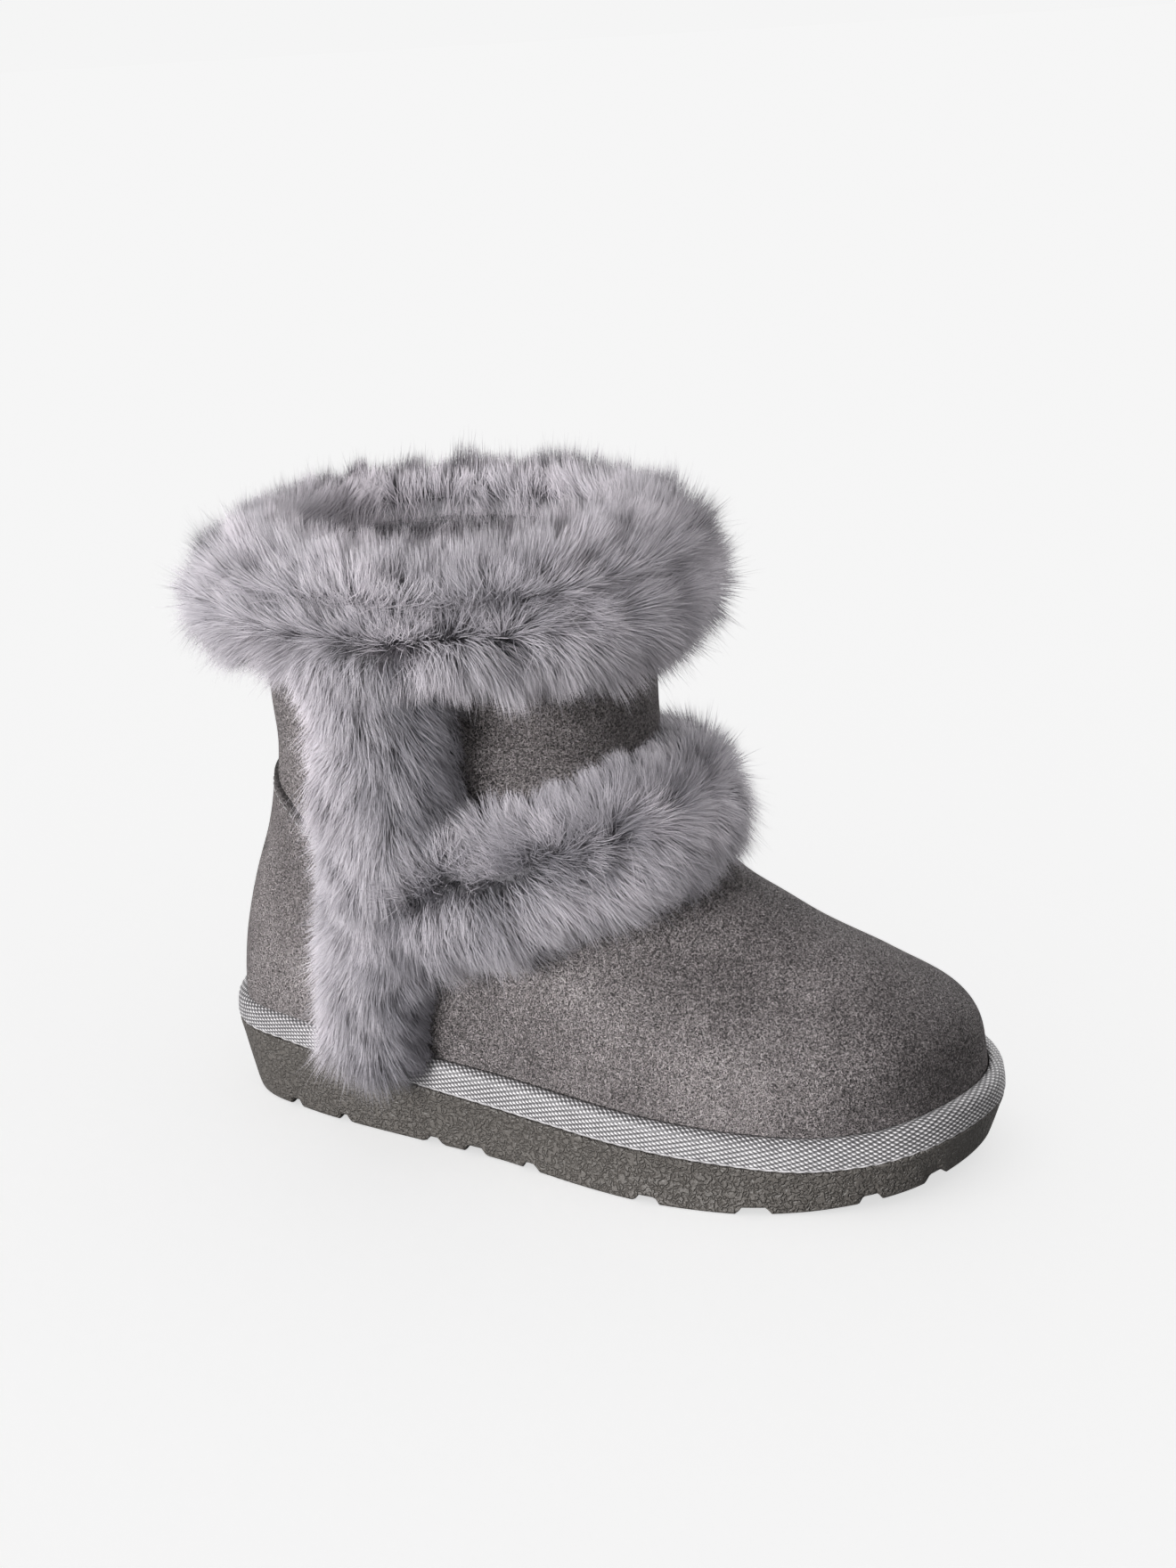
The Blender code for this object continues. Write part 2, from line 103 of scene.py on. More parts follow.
# place along the length, height of the sole's top (of heelSole)
soleTopRows = np.array(
    [(0.50, 1.00), (0.36, 0.99), (0.07, 0.85), (-0.16, 0.735), (-0.35, 0.75), (-0.50, 0.82)]
)
treadShape = {
    "archFrom": -0.005,  # along the length, heel positive
    "archTo": 0.180,
    "archOuter": -0.030,  # across, where the arch starts to rise
    "archInner": 0.020,  # across, where it is full
    "outerShare": 0.1,
    "springFrom": -0.24,
    "springTo": -0.50,
}


def curveBetween(before, start, end, after, share):
    # centripetal Hermite curve through four neighbours, read at a share of the way from start to end
    share = share[..., None]
    first = np.sqrt(np.linalg.norm(start - before, axis=-1, keepdims=True)) + 1e-9
    middle = np.sqrt(np.linalg.norm(end - start, axis=-1, keepdims=True)) + 1e-9
    last = np.sqrt(np.linalg.norm(after - end, axis=-1, keepdims=True)) + 1e-9
    leave = (start - before) / first - (end - before) / (first + middle) + (end - start) / middle
    arrive = (end - start) / middle - (after - start) / (middle + last) + (after - end) / last
    square, cube = share**2, share**3
    ease = 2 * cube - 3 * square + 1
    return (
        ease * start
        + (cube - 2 * square + share) * middle * leave
        + (1 - ease) * end
        + (cube - square) * middle * arrive
    )


def rowsAt(rows, place):
    # table rows read between whole-number places along a smooth curve
    padded = np.vstack([2 * rows[0] - rows[1], rows, 2 * rows[-1] - rows[-2]])
    index = np.clip(np.floor(place).astype(int), 0, len(rows) - 2)
    near = [padded[index + step] for step in range(4)]
    return curveBetween(*near, place - index)


def tableAt(rows, key):
    # the other columns of a table at values of its first column
    rows = rows[np.argsort(rows[:, 0])]
    place = np.interp(key, rows[:, 0], np.arange(len(rows), dtype=float))
    return rowsAt(rows[:, 1:], place)


def soleTop(y):
    # height of the sole's top at a place along the length
    return lastShape["heelSole"] * tableAt(soleTopRows, y / lastShape["length"])[..., 0]


def treadHeight(x, y):
    # flat heel and forefoot, a squared sine for the arch, mostly on the inner side, and a parabola for the
    # toe's spring
    place = y / lastShape["length"]
    shape = treadShape
    inner = np.clip((x - shape["archOuter"]) / (shape["archInner"] - shape["archOuter"]), 0.0, 1.0)
    along = np.clip((place - shape["archFrom"]) / (shape["archTo"] - shape["archFrom"]), 0.0, 1.0)
    arch = np.sin(np.pi * along) ** 2 * (shape["outerShare"] + (1 - shape["outerShare"]) * inner)
    spring = np.clip((shape["springFrom"] - place) / (shape["springFrom"] - shape["springTo"]), 0.0, 1.0) ** 2
    return lastShape["archRise"] * arch + lastShape["toeSpring"] * spring


def ringControls(level):
    # the 14 points that the ring of each level passes through, from the back along the outer side
    rings = rowsAt(ringRows, level).T
    backAt, backRise, frontAt, frontRise, heel, waist, ball, toe, follow, swing, oval = rings
    backY, frontY = backAt * lastShape["length"], frontAt * lastShape["length"]
    backZ = soleTop(backY) + lastShape["gap"] + backRise * lastShape["shaftRise"]
    frontZ = soleTop(frontY) + lastShape["gap"] + frontRise * lastShape["shaftRise"]
    corner = {
        name: [foot + (ellipse - foot) * oval for foot, ellipse in zip(*shape)]
        for name, shape in cornerShape.items()
    }
    heelAt, toeAt = stations["heel"][0], stations["toe"][0]
    one = np.ones_like(level)
    half = (
        (0.0 * one, 0.0 * one, 0.0),
        (heelAt * corner["heel"][0], heel * corner["heel"][1], endSwings["heelCorner"]),
        (heelAt * one, heel, stations["heel"][1]),
        (stations["waist"][0] * one, waist, stations["waist"][1]),
        (stations["ball"][0] * one, ball, stations["ball"][1]),
        (toeAt * one, toe, stations["toe"][1]),
        (1.0 - (1.0 - toeAt) * corner["toe"][0], toe * corner["toe"][1], endSwings["toeCorner"]),
        (one, 0.0 * one, endSwings["toeTip"]),
    )
    sides = [(station, -0.5) for station in half] + [(station, 0.5) for station in half[6:0:-1]]
    points = []
    for (along, width, inward), side in sides:
        y = backY + (frontY - backY) * along
        line = soleTop(backY) + (soleTop(frontY) - soleTop(backY)) * along
        z = backZ + (frontZ - backZ) * along + follow * (soleTop(y) - line)
        x = lastShape["ballWidth"] * (inward * swing + side * width)
        points.append(np.stack([x, y, z], axis=-1))
    return np.stack(points, axis=-2)


def upperPoint(level, around):
    # the suede's outer face: each ring is a closed smooth curve through its 14 points
    level, around = np.broadcast_arrays(np.asarray(level, float), np.asarray(around, float))
    controls = ringControls(level.ravel())
    flat = np.mod(around.ravel(), lastShape["endAround"])
    index = np.floor(flat).astype(int)
    pick = np.arange(len(flat))
    near = [controls[pick, (index + step) % controls.shape[1]] for step in (-1, 0, 1, 2)]
    return curveBetween(*near, flat - index).reshape(level.shape + (3,))


def unit(vectors):
    # each vector divided by its length
    return vectors / np.maximum(np.linalg.norm(vectors, axis=-1, keepdims=True), 1e-12)


def upperNormal(level, around):
    # outward direction: cross product of the steps round the ring and up the wall
    step = 1e-3
    level, around = np.broadcast_arrays(np.asarray(level, float), np.asarray(around, float))
    low = np.clip(level - step, 0.0, lastShape["topLevel"])
    high = np.clip(level + step, 0.0, lastShape["topLevel"])
    rise = upperPoint(high, around) - upperPoint(low, around)
    along = upperPoint(level, around + step) - upperPoint(level, around - step)
    return unit(np.cross(along, rise))


def levelNormal(level, around):
    # the outward direction laid flat
    return unit(upperNormal(level, around) * (1.0, 1.0, 0.0))


def roundPlaces(count):
    # even places once round a ring
    return np.linspace(0.0, lastShape["endAround"], count, endpoint=False)


# The frame's origin is under the middle of the boot, so the last is moved by what its upper is off there.
allLevels = np.linspace(0.0, lastShape["topLevel"], 60)[:, None]
allAround = np.linspace(0.0, lastShape["endAround"], 400)[None, :]
ownUpper = upperPoint(allLevels, allAround).reshape(-1, 3)
cadUpper = np.array([list(corner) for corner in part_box("upper")])
lastShift = cadUpper.mean(axis=0) - (ownUpper.min(axis=0) + ownUpper.max(axis=0)) / 2
lastShift[2] = 0.0
print("last worked out, moved by", np.round(lastShift * 1000, 3), "mm")


def gridFaces(rows, columns, closeRows=False, closeColumns=False):
    # quads of a grid of points listed row by row, which face (along columns) x (along rows)
    row = np.arange(rows if closeRows else rows - 1)[:, None]
    column = np.arange(columns if closeColumns else columns - 1)[None, :]
    nextRow, nextColumn = (row + 1) % rows, (column + 1) % columns
    corners = [row * columns + column, row * columns + nextColumn]
    corners += [nextRow * columns + nextColumn, nextRow * columns + column]
    return np.stack(np.broadcast_arrays(*corners), axis=-1).reshape(-1, 4)


def padFaces(rows, columns):
    # quads of a closed pad: a front grid, the same grid behind it, and walls along their border
    count = rows * columns
    quads = gridFaces(rows, columns)
    index = np.arange(count).reshape(rows, columns)
    border = np.concatenate([index[0, :-1], index[:-1, -1], index[-1, :0:-1], index[:0:-1, 0]])
    after = np.roll(border, -1)
    walls = np.stack([after, border, border + count, after + count], -1)
    return np.concatenate([quads, quads[:, ::-1] + count, walls])


def makePiece(name, points, quads, material, stands=(), tris=None, uv=None, uvName=None, normals=None):
    # a mesh object with its place in its mesh, riding on the one body
    points = np.asarray(points, float).reshape(-1, 3) + lastShift
    tris = np.zeros((0, 3), int) if tris is None else tris
    corners = np.concatenate([quads.ravel(), tris.ravel()]).astype(np.int32)
    starts = np.concatenate([np.arange(len(quads)) * 4, len(quads) * 4 + np.arange(len(tris)) * 3])
    mesh = bpy.data.meshes.new(name)
    mesh.vertices.add(len(points))
    mesh.vertices.foreach_set("co", points.ravel())
    mesh.loops.add(len(corners))
    mesh.loops.foreach_set("vertex_index", corners)
    mesh.polygons.add(len(starts))
    mesh.polygons.foreach_set("loop_start", starts.astype(np.int32))
    mesh.update(calc_edges=True)
    if uv is not None:
        layer = mesh.uv_layers.new(name=uvName)
        layer.uv.foreach_set("vector", np.asarray(uv, float).reshape(-1, 2)[corners].ravel())
    mesh.validate()
    mesh.materials.append(material)
    mesh.shade_smooth()
    if normals is not None:
        mesh.normals_split_custom_set_from_vertices(normals)
    piece = bpy.data.objects.new(name, mesh)
    bpy.context.scene.collection.objects.link(piece)
    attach(piece, "root")
    if stands:
        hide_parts(*stands)
    print(f"{name}: {len(quads) * 2 + len(tris)} triangles")
    return piece


def readGrid(grid, a, b, closed=False):
    # smooth reading of a table of values between its rows (a) and columns (b), both 0 to 1
    rows, columns = grid.shape[:2]
    u = np.mod(a, 1.0) * rows if closed else np.clip(a, 0.0, 1.0) * (rows - 1)
    v = np.clip(b, 0.0, 1.0) * (columns - 1)
    i = np.minimum(np.floor(u).astype(int), rows - (1 if closed else 2))
    j = np.minimum(np.floor(v).astype(int), columns - 2)
    s, t = (u - i)[..., None], (v - j)[..., None]
    k = (i + 1) % rows
    low = grid[i, j] * (1 - s) + grid[k, j] * s
    high = grid[i, j + 1] * (1 - s) + grid[k, j + 1] * s
    return low * (1 - t) + high * t


def softNoise(rng, rows, columns, a, b, closed=False):
    # values from -1 to 1 that drift smoothly: a small random table read with eased steps
    table = rng.uniform(-1.0, 1.0, (rows, columns, 1))
    u = np.mod(a, 1.0) * rows if closed else np.clip(a, 0.0, 1.0) * (rows - 1)
    v = np.clip(b, 0.0, 1.0) * (columns - 1)
    u, v = [np.floor(x) + (x % 1.0) ** 2 * (3 - 2 * (x % 1.0)) for x in (u, v)]
    return readGrid(table, u / (rows if closed else rows - 1), v / (columns - 1), closed)[..., 0]


def bell(x, middle, width):
    # a smooth hump: exp(-((x - middle) / width)^2)
    return np.exp(-(((x - middle) / width) ** 2))


# Every material below is one shader, fed by nodes that these short functions add.


def startMaterial(name, roughness, specular=0.3, sheen=0.0, sheenRoughness=0.5):
    # an empty material whose even values are set on the shader itself
    material = bpy.data.materials.new(name)
    material.use_nodes = True
    shader = material.node_tree.nodes["Principled BSDF"]
    shader.inputs["Roughness"].default_value = roughness
    shader.inputs["Specular IOR Level"].default_value = specular
    shader.inputs["Sheen Weight"].default_value = sheen
    shader.inputs["Sheen Roughness"].default_value = sheenRoughness
    return material, material.node_tree, shader


def addNode(tree, kind, links=(), **values):
    # a node with its input values by name, and links as (input, output socket)
    node = tree.nodes.new(kind)
    for name, value in values.items():
        if hasattr(node, name):
            setattr(node, name, value)
        else:
            node.inputs[name.replace("_", " ")].default_value = value
    for name, socket in links:
        tree.links.new(socket, node.inputs[name])
    return node


def feed(tree, node, indices, values):
    # sets the numbered inputs of a node to numbers or colours, or links them to sockets
    for index, value in zip(indices, values):
        if isinstance(value, (int, float)):
            node.inputs[index].default_value = value
        elif isinstance(value, tuple):
            node.inputs[index].default_value = (*value, 1.0)
        else:
            tree.links.new(value, node.inputs[index])


def ramp(tree, socket, stops):
    # a colour ramp through (place, colour) stops
    node = tree.nodes.new("ShaderNodeValToRGB")
    tree.links.new(socket, node.inputs["Fac"])
    points = node.color_ramp.elements
    while len(points) < len(stops):
        points.new(0.5)
    for point, (place, colour) in zip(points, stops):
        point.position = place
        point.color = (*colour, 1.0)
    return node.outputs["Color"]


def timesColours(tree, first, second):
    # one colour multiplied by another
    node = tree.nodes.new("ShaderNodeMix")
    node.data_type = "RGBA"
    node.blend_type = "MULTIPLY"
    feed(tree, node, (0, 6, 7), (1.0, first, second))
    return node.outputs[2]


def mathNode(tree, operation, first, second=0.0, third=0.0, clamp=False):
    # one step of arithmetic on numbers or sockets
    node = tree.nodes.new("ShaderNodeMath")
    node.operation = operation
    node.use_clamp = clamp
    feed(tree, node, (0, 1, 2), (first, second, third))
    return node.outputs[0]


def sway(tree, socket, amount, about, middle=0.5):
    # about + (socket - middle) x amount
    return mathNode(tree, "MULTIPLY_ADD", mathNode(tree, "SUBTRACT", socket, middle), amount, about)


def noise(tree, vector, scale, detail, roughness, distortion):
    # a noise of that many ripples to the metre, its values about a half
    values = {"Scale": scale, "Detail": detail, "Roughness": roughness, "Distortion": distortion}
    return addNode(tree, "ShaderNodeTexNoise", [("Vector", vector)], **values).outputs["Fac"]


def bump(tree, shader, height, distance, below=None):
    # relief over the surface, or over the relief of another bump
    links = [("Height", height)] + ([] if below is None else [("Normal", below)])
    normal = addNode(tree, "ShaderNodeBump", links, Distance=distance).outputs["Normal"]
    tree.links.new(normal, shader.inputs["Normal"])
    return normal


def objectPlace(tree):
    # the place in the boot's own space, in metres
    return addNode(tree, "ShaderNodeTexCoord").outputs["Object"]


def mapPlace(tree, uvName):
    # the two coordinates of a piece's own map
    laid = addNode(tree, "ShaderNodeUVMap", uv_map=uvName).outputs["UV"]
    split = addNode(tree, "ShaderNodeSeparateXYZ", [("Vector", laid)])
    return split.outputs["X"], split.outputs["Y"]


suedeLook = {
    "tones": [(0.10, (0.056, 0.050, 0.050)), (0.48, (0.228, 0.203, 0.204)), (0.92, (0.490, 0.446, 0.448))],
    # scale, detail, roughness and distortion of each noise
    "crinkle": (2100.0, 1.0, 0.5, 0.3),
    "grain": (3600.0, 2.0, 0.6, 0.2),
    "pebble": (1050.0, 2.0, 0.55, 0.4),
    "patches": (26.0, 3.0, 0.55, 0.4),
    "brushed": (130.0, 2.0, 0.5, 0.0),
    # how much each of them sways the tone
    "fine": {"crinkle": 1.10, "grain": 1.60, "pebble": 0.45},
    "broad": {"patches": 0.50, "brushed": 0.20},
    "upperContrast": 1.3,  # the upper's fine noises against the counter's
    "pitShade": (0.38, 8.0, -0.12),  # painted shade in the grain's hollows: below which pebble it starts, how sharply, and how dark
    "pebbleRelief": 0.6,
    "crinkleHeight": 0.0058,
    "napHeight": 0.0013,
    # painted shade down in the crease of the turned edge: how dark, by metres from the fold
    "creaseShade": [(0.0, (0.30, 0.30, 0.30)), (0.0005, (0.50, 0.50, 0.50)), (0.0012, (1.0, 1.0, 1.0))],
}


def suedeMaterial(name, seam=False, patched=False, contrast=1.0):
    # short nap brushed about: crinkles and a fine grain in relief, painted shade in the grain's pits, soft
    # lighter and darker patches that are partly painted shade, and on the counter painted shade in its edge's
    # crease
    material, tree, shader = startMaterial(name, roughness=0.72, sheen=0.06, sheenRoughness=0.45)
    place = objectPlace(tree)
    noises = {key: noise(tree, place, *suedeLook[key]) for key in (*suedeLook["fine"], *suedeLook["broad"])}
    tone = 0.50
    for key, amount in suedeLook["fine"].items():
        tone = sway(tree, noises[key], amount * contrast, tone)
    for key, amount in suedeLook["broad"].items():
        tone = sway(tree, noises[key], amount, tone)
    # painted shade: the low places of the pebble noise, the grain's pits, are darkened
    start, sharpness, depth = suedeLook["pitShade"]
    hollow = mathNode(tree, "SUBTRACT", start, noises["pebble"])
    pitShade = mathNode(tree, "MULTIPLY", hollow, sharpness, clamp=True)
    tone = mathNode(tree, "MULTIPLY_ADD", pitShade, depth, tone)
    if patched:
        # the map adds soft patches of nap tone and painted shade
        laid, _ = mapPlace(tree, "napMap")
        tone = sway(tree, laid, 1.0, tone)
    colour = ramp(tree, tone, suedeLook["tones"])
    # on the counter, painted shade in the crease along its turned edge, by the drop from the fold
    if seam:
        _, drop = mapPlace(tree, "seamMap")
        colour = timesColours(tree, colour, ramp(tree, drop, suedeLook["creaseShade"]))
    tree.links.new(colour, shader.inputs["Base Color"])
    relief = mathNode(tree, "MULTIPLY_ADD", noises["pebble"], suedeLook["pebbleRelief"], noises["crinkle"])
    low = bump(tree, shader, relief, suedeLook["crinkleHeight"])
    bump(tree, shader, noises["grain"], suedeLook["napHeight"], low)
    return material


hairTones = {
    # from a hair's root to its tip
    "length": [
        (0.00, (0.100, 0.096, 0.104)),
        (0.30, (0.220, 0.211, 0.228)),
        (0.62, (0.350, 0.336, 0.360)),
        (1.00, (0.520, 0.499, 0.525)),
    ],
    # from the darkest hair to the palest, times the tone above
    "shades": [(0.0, (0.34, 0.34, 0.36)), (0.5, (1.0, 0.985, 1.0)), (1.0, (1.34, 1.29, 1.31))],
}


def hairMaterial():
    # hairs read their own map: across it the hair's shade, up it the way from root to tip
    material, tree, shader = startMaterial("plushHairs", roughness=0.62, specular=0.28, sheen=0.12)
    shade, length = mapPlace(tree, "OFBake")
    colours = ramp(tree, length, hairTones["length"]), ramp(tree, shade, hairTones["shades"])
    tree.links.new(timesColours(tree, *colours), shader.inputs["Base Color"])
    return material


undercoatLook = {
    "streaks": (2300.0, 3.0, 0.6, 0.8),
    "stretch": 0.13,  # of the streaks, along the hairs
    "broad": (160.0, 2.0, 0.5, 0.0),
    "broadSway": 0.6,
    "tones": [(0.30, (0.150, 0.145, 0.157)), (0.72, (0.310, 0.299, 0.319))],
    "relief": 0.0005,
}


def undercoatMaterial():
    # the dense wool at the hairs' roots: streaks across the piece, the way its hairs are combed
    material, tree, shader = startMaterial("plushUndercoat", roughness=0.9, specular=0.1, sheen=0.2)
    combed = addNode(tree, "ShaderNodeUVMap", uv_map="combMap").outputs["UV"]
    scale = (1.0, undercoatLook["stretch"], 1.0)
    stretched = addNode(tree, "ShaderNodeMapping", [("Vector", combed)], Scale=scale).outputs["Vector"]
    streaks = noise(tree, stretched, *undercoatLook["streaks"])
    broad = noise(tree, objectPlace(tree), *undercoatLook["broad"])
    tone = sway(tree, broad, undercoatLook["broadSway"], streaks)
    tree.links.new(ramp(tree, tone, undercoatLook["tones"]), shader.inputs["Base Color"])
    bump(tree, shader, streaks, undercoatLook["relief"])
    return material


fleeceLook = {
    "curlScale": 420.0,
    "curlDepth": -0.8,
    "wool": (700.0, 3.0, 0.6, 1.5),
    "tones": [(0.05, (0.13, 0.126, 0.14)), (0.45, (0.30, 0.29, 0.315))],
    "relief": 0.0009,
}


def fleeceMaterial():
    # the pile lining and the footbed: curly short wool
    material, tree, shader = startMaterial("plushLining", roughness=0.95, specular=0.1, sheen=0.3)
    place = objectPlace(tree)
    cells = {"Scale": fleeceLook["curlScale"], "feature": "SMOOTH_F1"}
    curls = addNode(tree, "ShaderNodeTexVoronoi", [("Vector", place)], **cells).outputs["Distance"]
    wool = noise(tree, place, *fleeceLook["wool"])
    height = mathNode(tree, "MULTIPLY_ADD", curls, fleeceLook["curlDepth"], wool)
    tree.links.new(ramp(tree, height, fleeceLook["tones"]), shader.inputs["Base Color"])
    bump(tree, shader, height, fleeceLook["relief"])
    return material


tapeLook = {
    "ribPitch": 0.00106,
    "threadPitch": 0.00098,
    "climb": 18.0,  # degrees by which the ribs climb towards the toe
    "stagger": 0.38,  # of a thread, from rib to rib
    "dashTurn": 48.0,  # degrees between a float and its rib
    "dashHalf": (0.00078, 0.00027),
    "dashRound": 0.7,
    "dashShare": 0.74,
    "rowHalf": 0.00040,
    "rowShare": 0.24,
    "selvedge": 0.0007,
    "selvedgeTone": 0.72,
    "selvedgeEdge": 4000.0,  # how sharply it ends, per metre
    "wear": (260.0, 3.0, 0.6, 0.0),
    "wearSway": 0.35,
    "strands": (2600.0, 2.0, 0.6, 0.0),
    "strandSway": 0.5,
    "tones": [
        (0.00, (0.070, 0.067, 0.070)),
        (0.30, (0.150, 0.146, 0.152)),
        (0.62, (0.340, 0.328, 0.340)),
        (0.95, (0.720, 0.700, 0.710)),
    ],
    "relief": 0.00028,
    "columns": 620,
    "middleLevel": 0.45,  # where its length is measured
    "faceRows": 44,
    "backStep": 6,  # the hidden back takes every sixth row
    # share of the way up the front, how far it stands out: bulging low, thinning to a selvedge on the suede
    "front": ((0.0, 0.12, 0.35, 0.72, 0.92, 1.0), (0.0030, 0.0034, 0.0034, 0.0031, 0.0023, 0.0013)),
    "back": 0.00012,
    "ribHeight": 0.00032,
    "ribRound": 0.8,
    "ribFade": 0.0016,  # below the upper edge the ribs flatten out over this
}


def weavePlaces(tree, ribPhase, threadPhase):
    # metres across and along from the middle of the float that a place lies on, rib after rib staggered
    def fromMiddle(phase, pitch):
        inCell = mathNode(tree, "SUBTRACT", mathNode(tree, "FRACT", phase), 0.5)
        return mathNode(tree, "MULTIPLY", inCell, pitch)

    rib = mathNode(tree, "FLOOR", ribPhase)
    staggered = mathNode(tree, "MULTIPLY_ADD", rib, tapeLook["stagger"], threadPhase)
    return fromMiddle(ribPhase, tapeLook["ribPitch"]), fromMiddle(staggered, tapeLook["threadPitch"])


def tapeMaterial(ribs, threads):
    # twill webbing: every thread floats over as a short pale dash set slantwise, row after row; the colour
    # follows the relief, a painted highlight on each float's crown and painted shade in the gaps between
    material, tree, shader = startMaterial("twillTape", roughness=0.42, specular=0.5, sheen=0.1)
    ribPhase, threadPhase = mapPlace(tree, "weaveMap")
    across, along = weavePlaces(tree, ribPhase, threadPhase)

    def weighed(first, second, firstShare, secondShare):
        # first x its share + second x its share
        part = mathNode(tree, "MULTIPLY", second, secondShare)
        return mathNode(tree, "MULTIPLY_ADD", first, firstShare, part)

    def domed(u, v):
        # 1 - u^2 - v^2, never below nothing
        square = mathNode(tree, "MULTIPLY_ADD", u, u, mathNode(tree, "MULTIPLY", v, v))
        return mathNode(tree, "SUBTRACT", 1.0, square, clamp=True)

    turn = np.radians(tapeLook["dashTurn"])
    long, wide = tapeLook["dashHalf"]
    u = weighed(along, across, np.cos(turn) / long, np.sin(turn) / long)
    v = weighed(along, across, np.sin(turn) / wide, -np.cos(turn) / wide)
    dash = mathNode(tree, "POWER", domed(u, v), tapeLook["dashRound"])
    row = domed(mathNode(tree, "DIVIDE", across, tapeLook["rowHalf"]), 0.0)
    dash = weighed(row, dash, tapeLook["rowShare"], tapeLook["dashShare"])
    # height over the sole, from both phases, for the plain selvedge
    climb = np.radians(tapeLook["climb"])
    rate = np.cos(climb) / tapeLook["ribPitch"] + np.sin(climb) / tapeLook["threadPitch"] * ribs / threads
    rise = mathNode(tree, "SUBTRACT", mathNode(tree, "MULTIPLY", threadPhase, ribs / threads), ribPhase)
    height = mathNode(tree, "MULTIPLY", rise, 1.0 / rate)
    below = mathNode(tree, "SUBTRACT", tapeLook["selvedge"], height)
    plain = mathNode(tree, "MULTIPLY", below, tapeLook["selvedgeEdge"], clamp=True)
    woven = mathNode(tree, "MULTIPLY", dash, mathNode(tree, "SUBTRACT", 1.0, plain))
    weaveReliefAndShade = mathNode(tree, "MULTIPLY_ADD", plain, tapeLook["selvedgeTone"], woven)
    place = objectPlace(tree)
    tone = sway(tree, noise(tree, place, *tapeLook["wear"]), tapeLook["wearSway"], weaveReliefAndShade)
    tone = sway(tree, noise(tree, place, *tapeLook["strands"]), tapeLook["strandSway"], tone)
    # painted highlight and shade: pale on the floats' crowns, dark where the weave dips between them
    tree.links.new(ramp(tree, tone, tapeLook["tones"]), shader.inputs["Base Color"])
    bump(tree, shader, weaveReliefAndShade, tapeLook["relief"])
    return material


rubberLook = {
    "swell": (760.0, 1.0, 0.5, 0.5),
    "opening": (900.0, 1.0, 0.5, 0.0),
    "width": (0.55, -0.13, 0.03),  # share of the opening, what is taken off it, and the narrowest
    "pebbleTop": (0.80, 0.7),  # how high the pebbles are, and how softly they level out
    "grain": (2600.0, 2.0, 0.6, 0.0),
    "grainHeight": 0.35,
    "broad": (60.0, 2.0, 0.5, 0.0),
    "broadSway": 0.4,
    "reliefShade": 0.75,
    "tones": [(0.16, (0.068, 0.061, 0.055)), (0.60, (0.087, 0.079, 0.072)), (0.92, (0.104, 0.095, 0.087))],
    "relief": 0.00054,
}


def rubberMaterial():
    # moulded sole: thin wandering creases, where a noise passes its middle, that open and close, with painted
    # shade darkening the colour down into them
    material, tree, shader = startMaterial("pebbledRubber", roughness=0.46, specular=0.45)
    place = objectPlace(tree)
    share, less, narrowest = rubberLook["width"]
    opening = noise(tree, place, *rubberLook["opening"])
    width = mathNode(tree, "MAXIMUM", mathNode(tree, "MULTIPLY_ADD", opening, share, less), narrowest)
    swell = noise(tree, place, *rubberLook["swell"])
    off = mathNode(tree, "ABSOLUTE", mathNode(tree, "SUBTRACT", swell, 0.5))
    pebble = mathNode(tree, "DIVIDE", off, width, clamp=True)
    levelled = mathNode(tree, "SMOOTH_MIN", pebble, *rubberLook["pebbleTop"])
    grain = noise(tree, place, *rubberLook["grain"])
    height = mathNode(tree, "MULTIPLY_ADD", grain, rubberLook["grainHeight"], levelled)
    # painted shade: the lower the relief, the darker the colour
    tone = mathNode(tree, "MULTIPLY", height, rubberLook["reliefShade"])
    tone = sway(tree, noise(tree, place, *rubberLook["broad"]), rubberLook["broadSway"], tone)
    tree.links.new(ramp(tree, tone, rubberLook["tones"]), shader.inputs["Base Color"])
    bump(tree, shader, height, rubberLook["relief"])
    return material


threadLook = {
    "twist": (2400.0, 2.0, 0.5, 0.0),
    "tones": [(0.3, (0.10, 0.095, 0.095)), (0.7, (0.30, 0.29, 0.29))],
    "relief": 0.0001,
}


def threadMaterial():
    # sewing thread, light and dark along its twist
    material, tree, shader = startMaterial("sewingThread", roughness=0.55, specular=0.4)
    twist = noise(tree, objectPlace(tree), *threadLook["twist"])
    tree.links.new(ramp(tree, twist, threadLook["tones"]), shader.inputs["Base Color"])
    bump(tree, shader, twist, threadLook["relief"])
    return material


suede = suedeMaterial("greySuede", patched=True, contrast=suedeLook["upperContrast"])
counterSuede = suedeMaterial("counterSuede", seam=True)
undercoat, fleece = undercoatMaterial(), fleeceMaterial()
rubber, thread = rubberMaterial(), threadMaterial()
hairs = hairMaterial()
print("materials made")

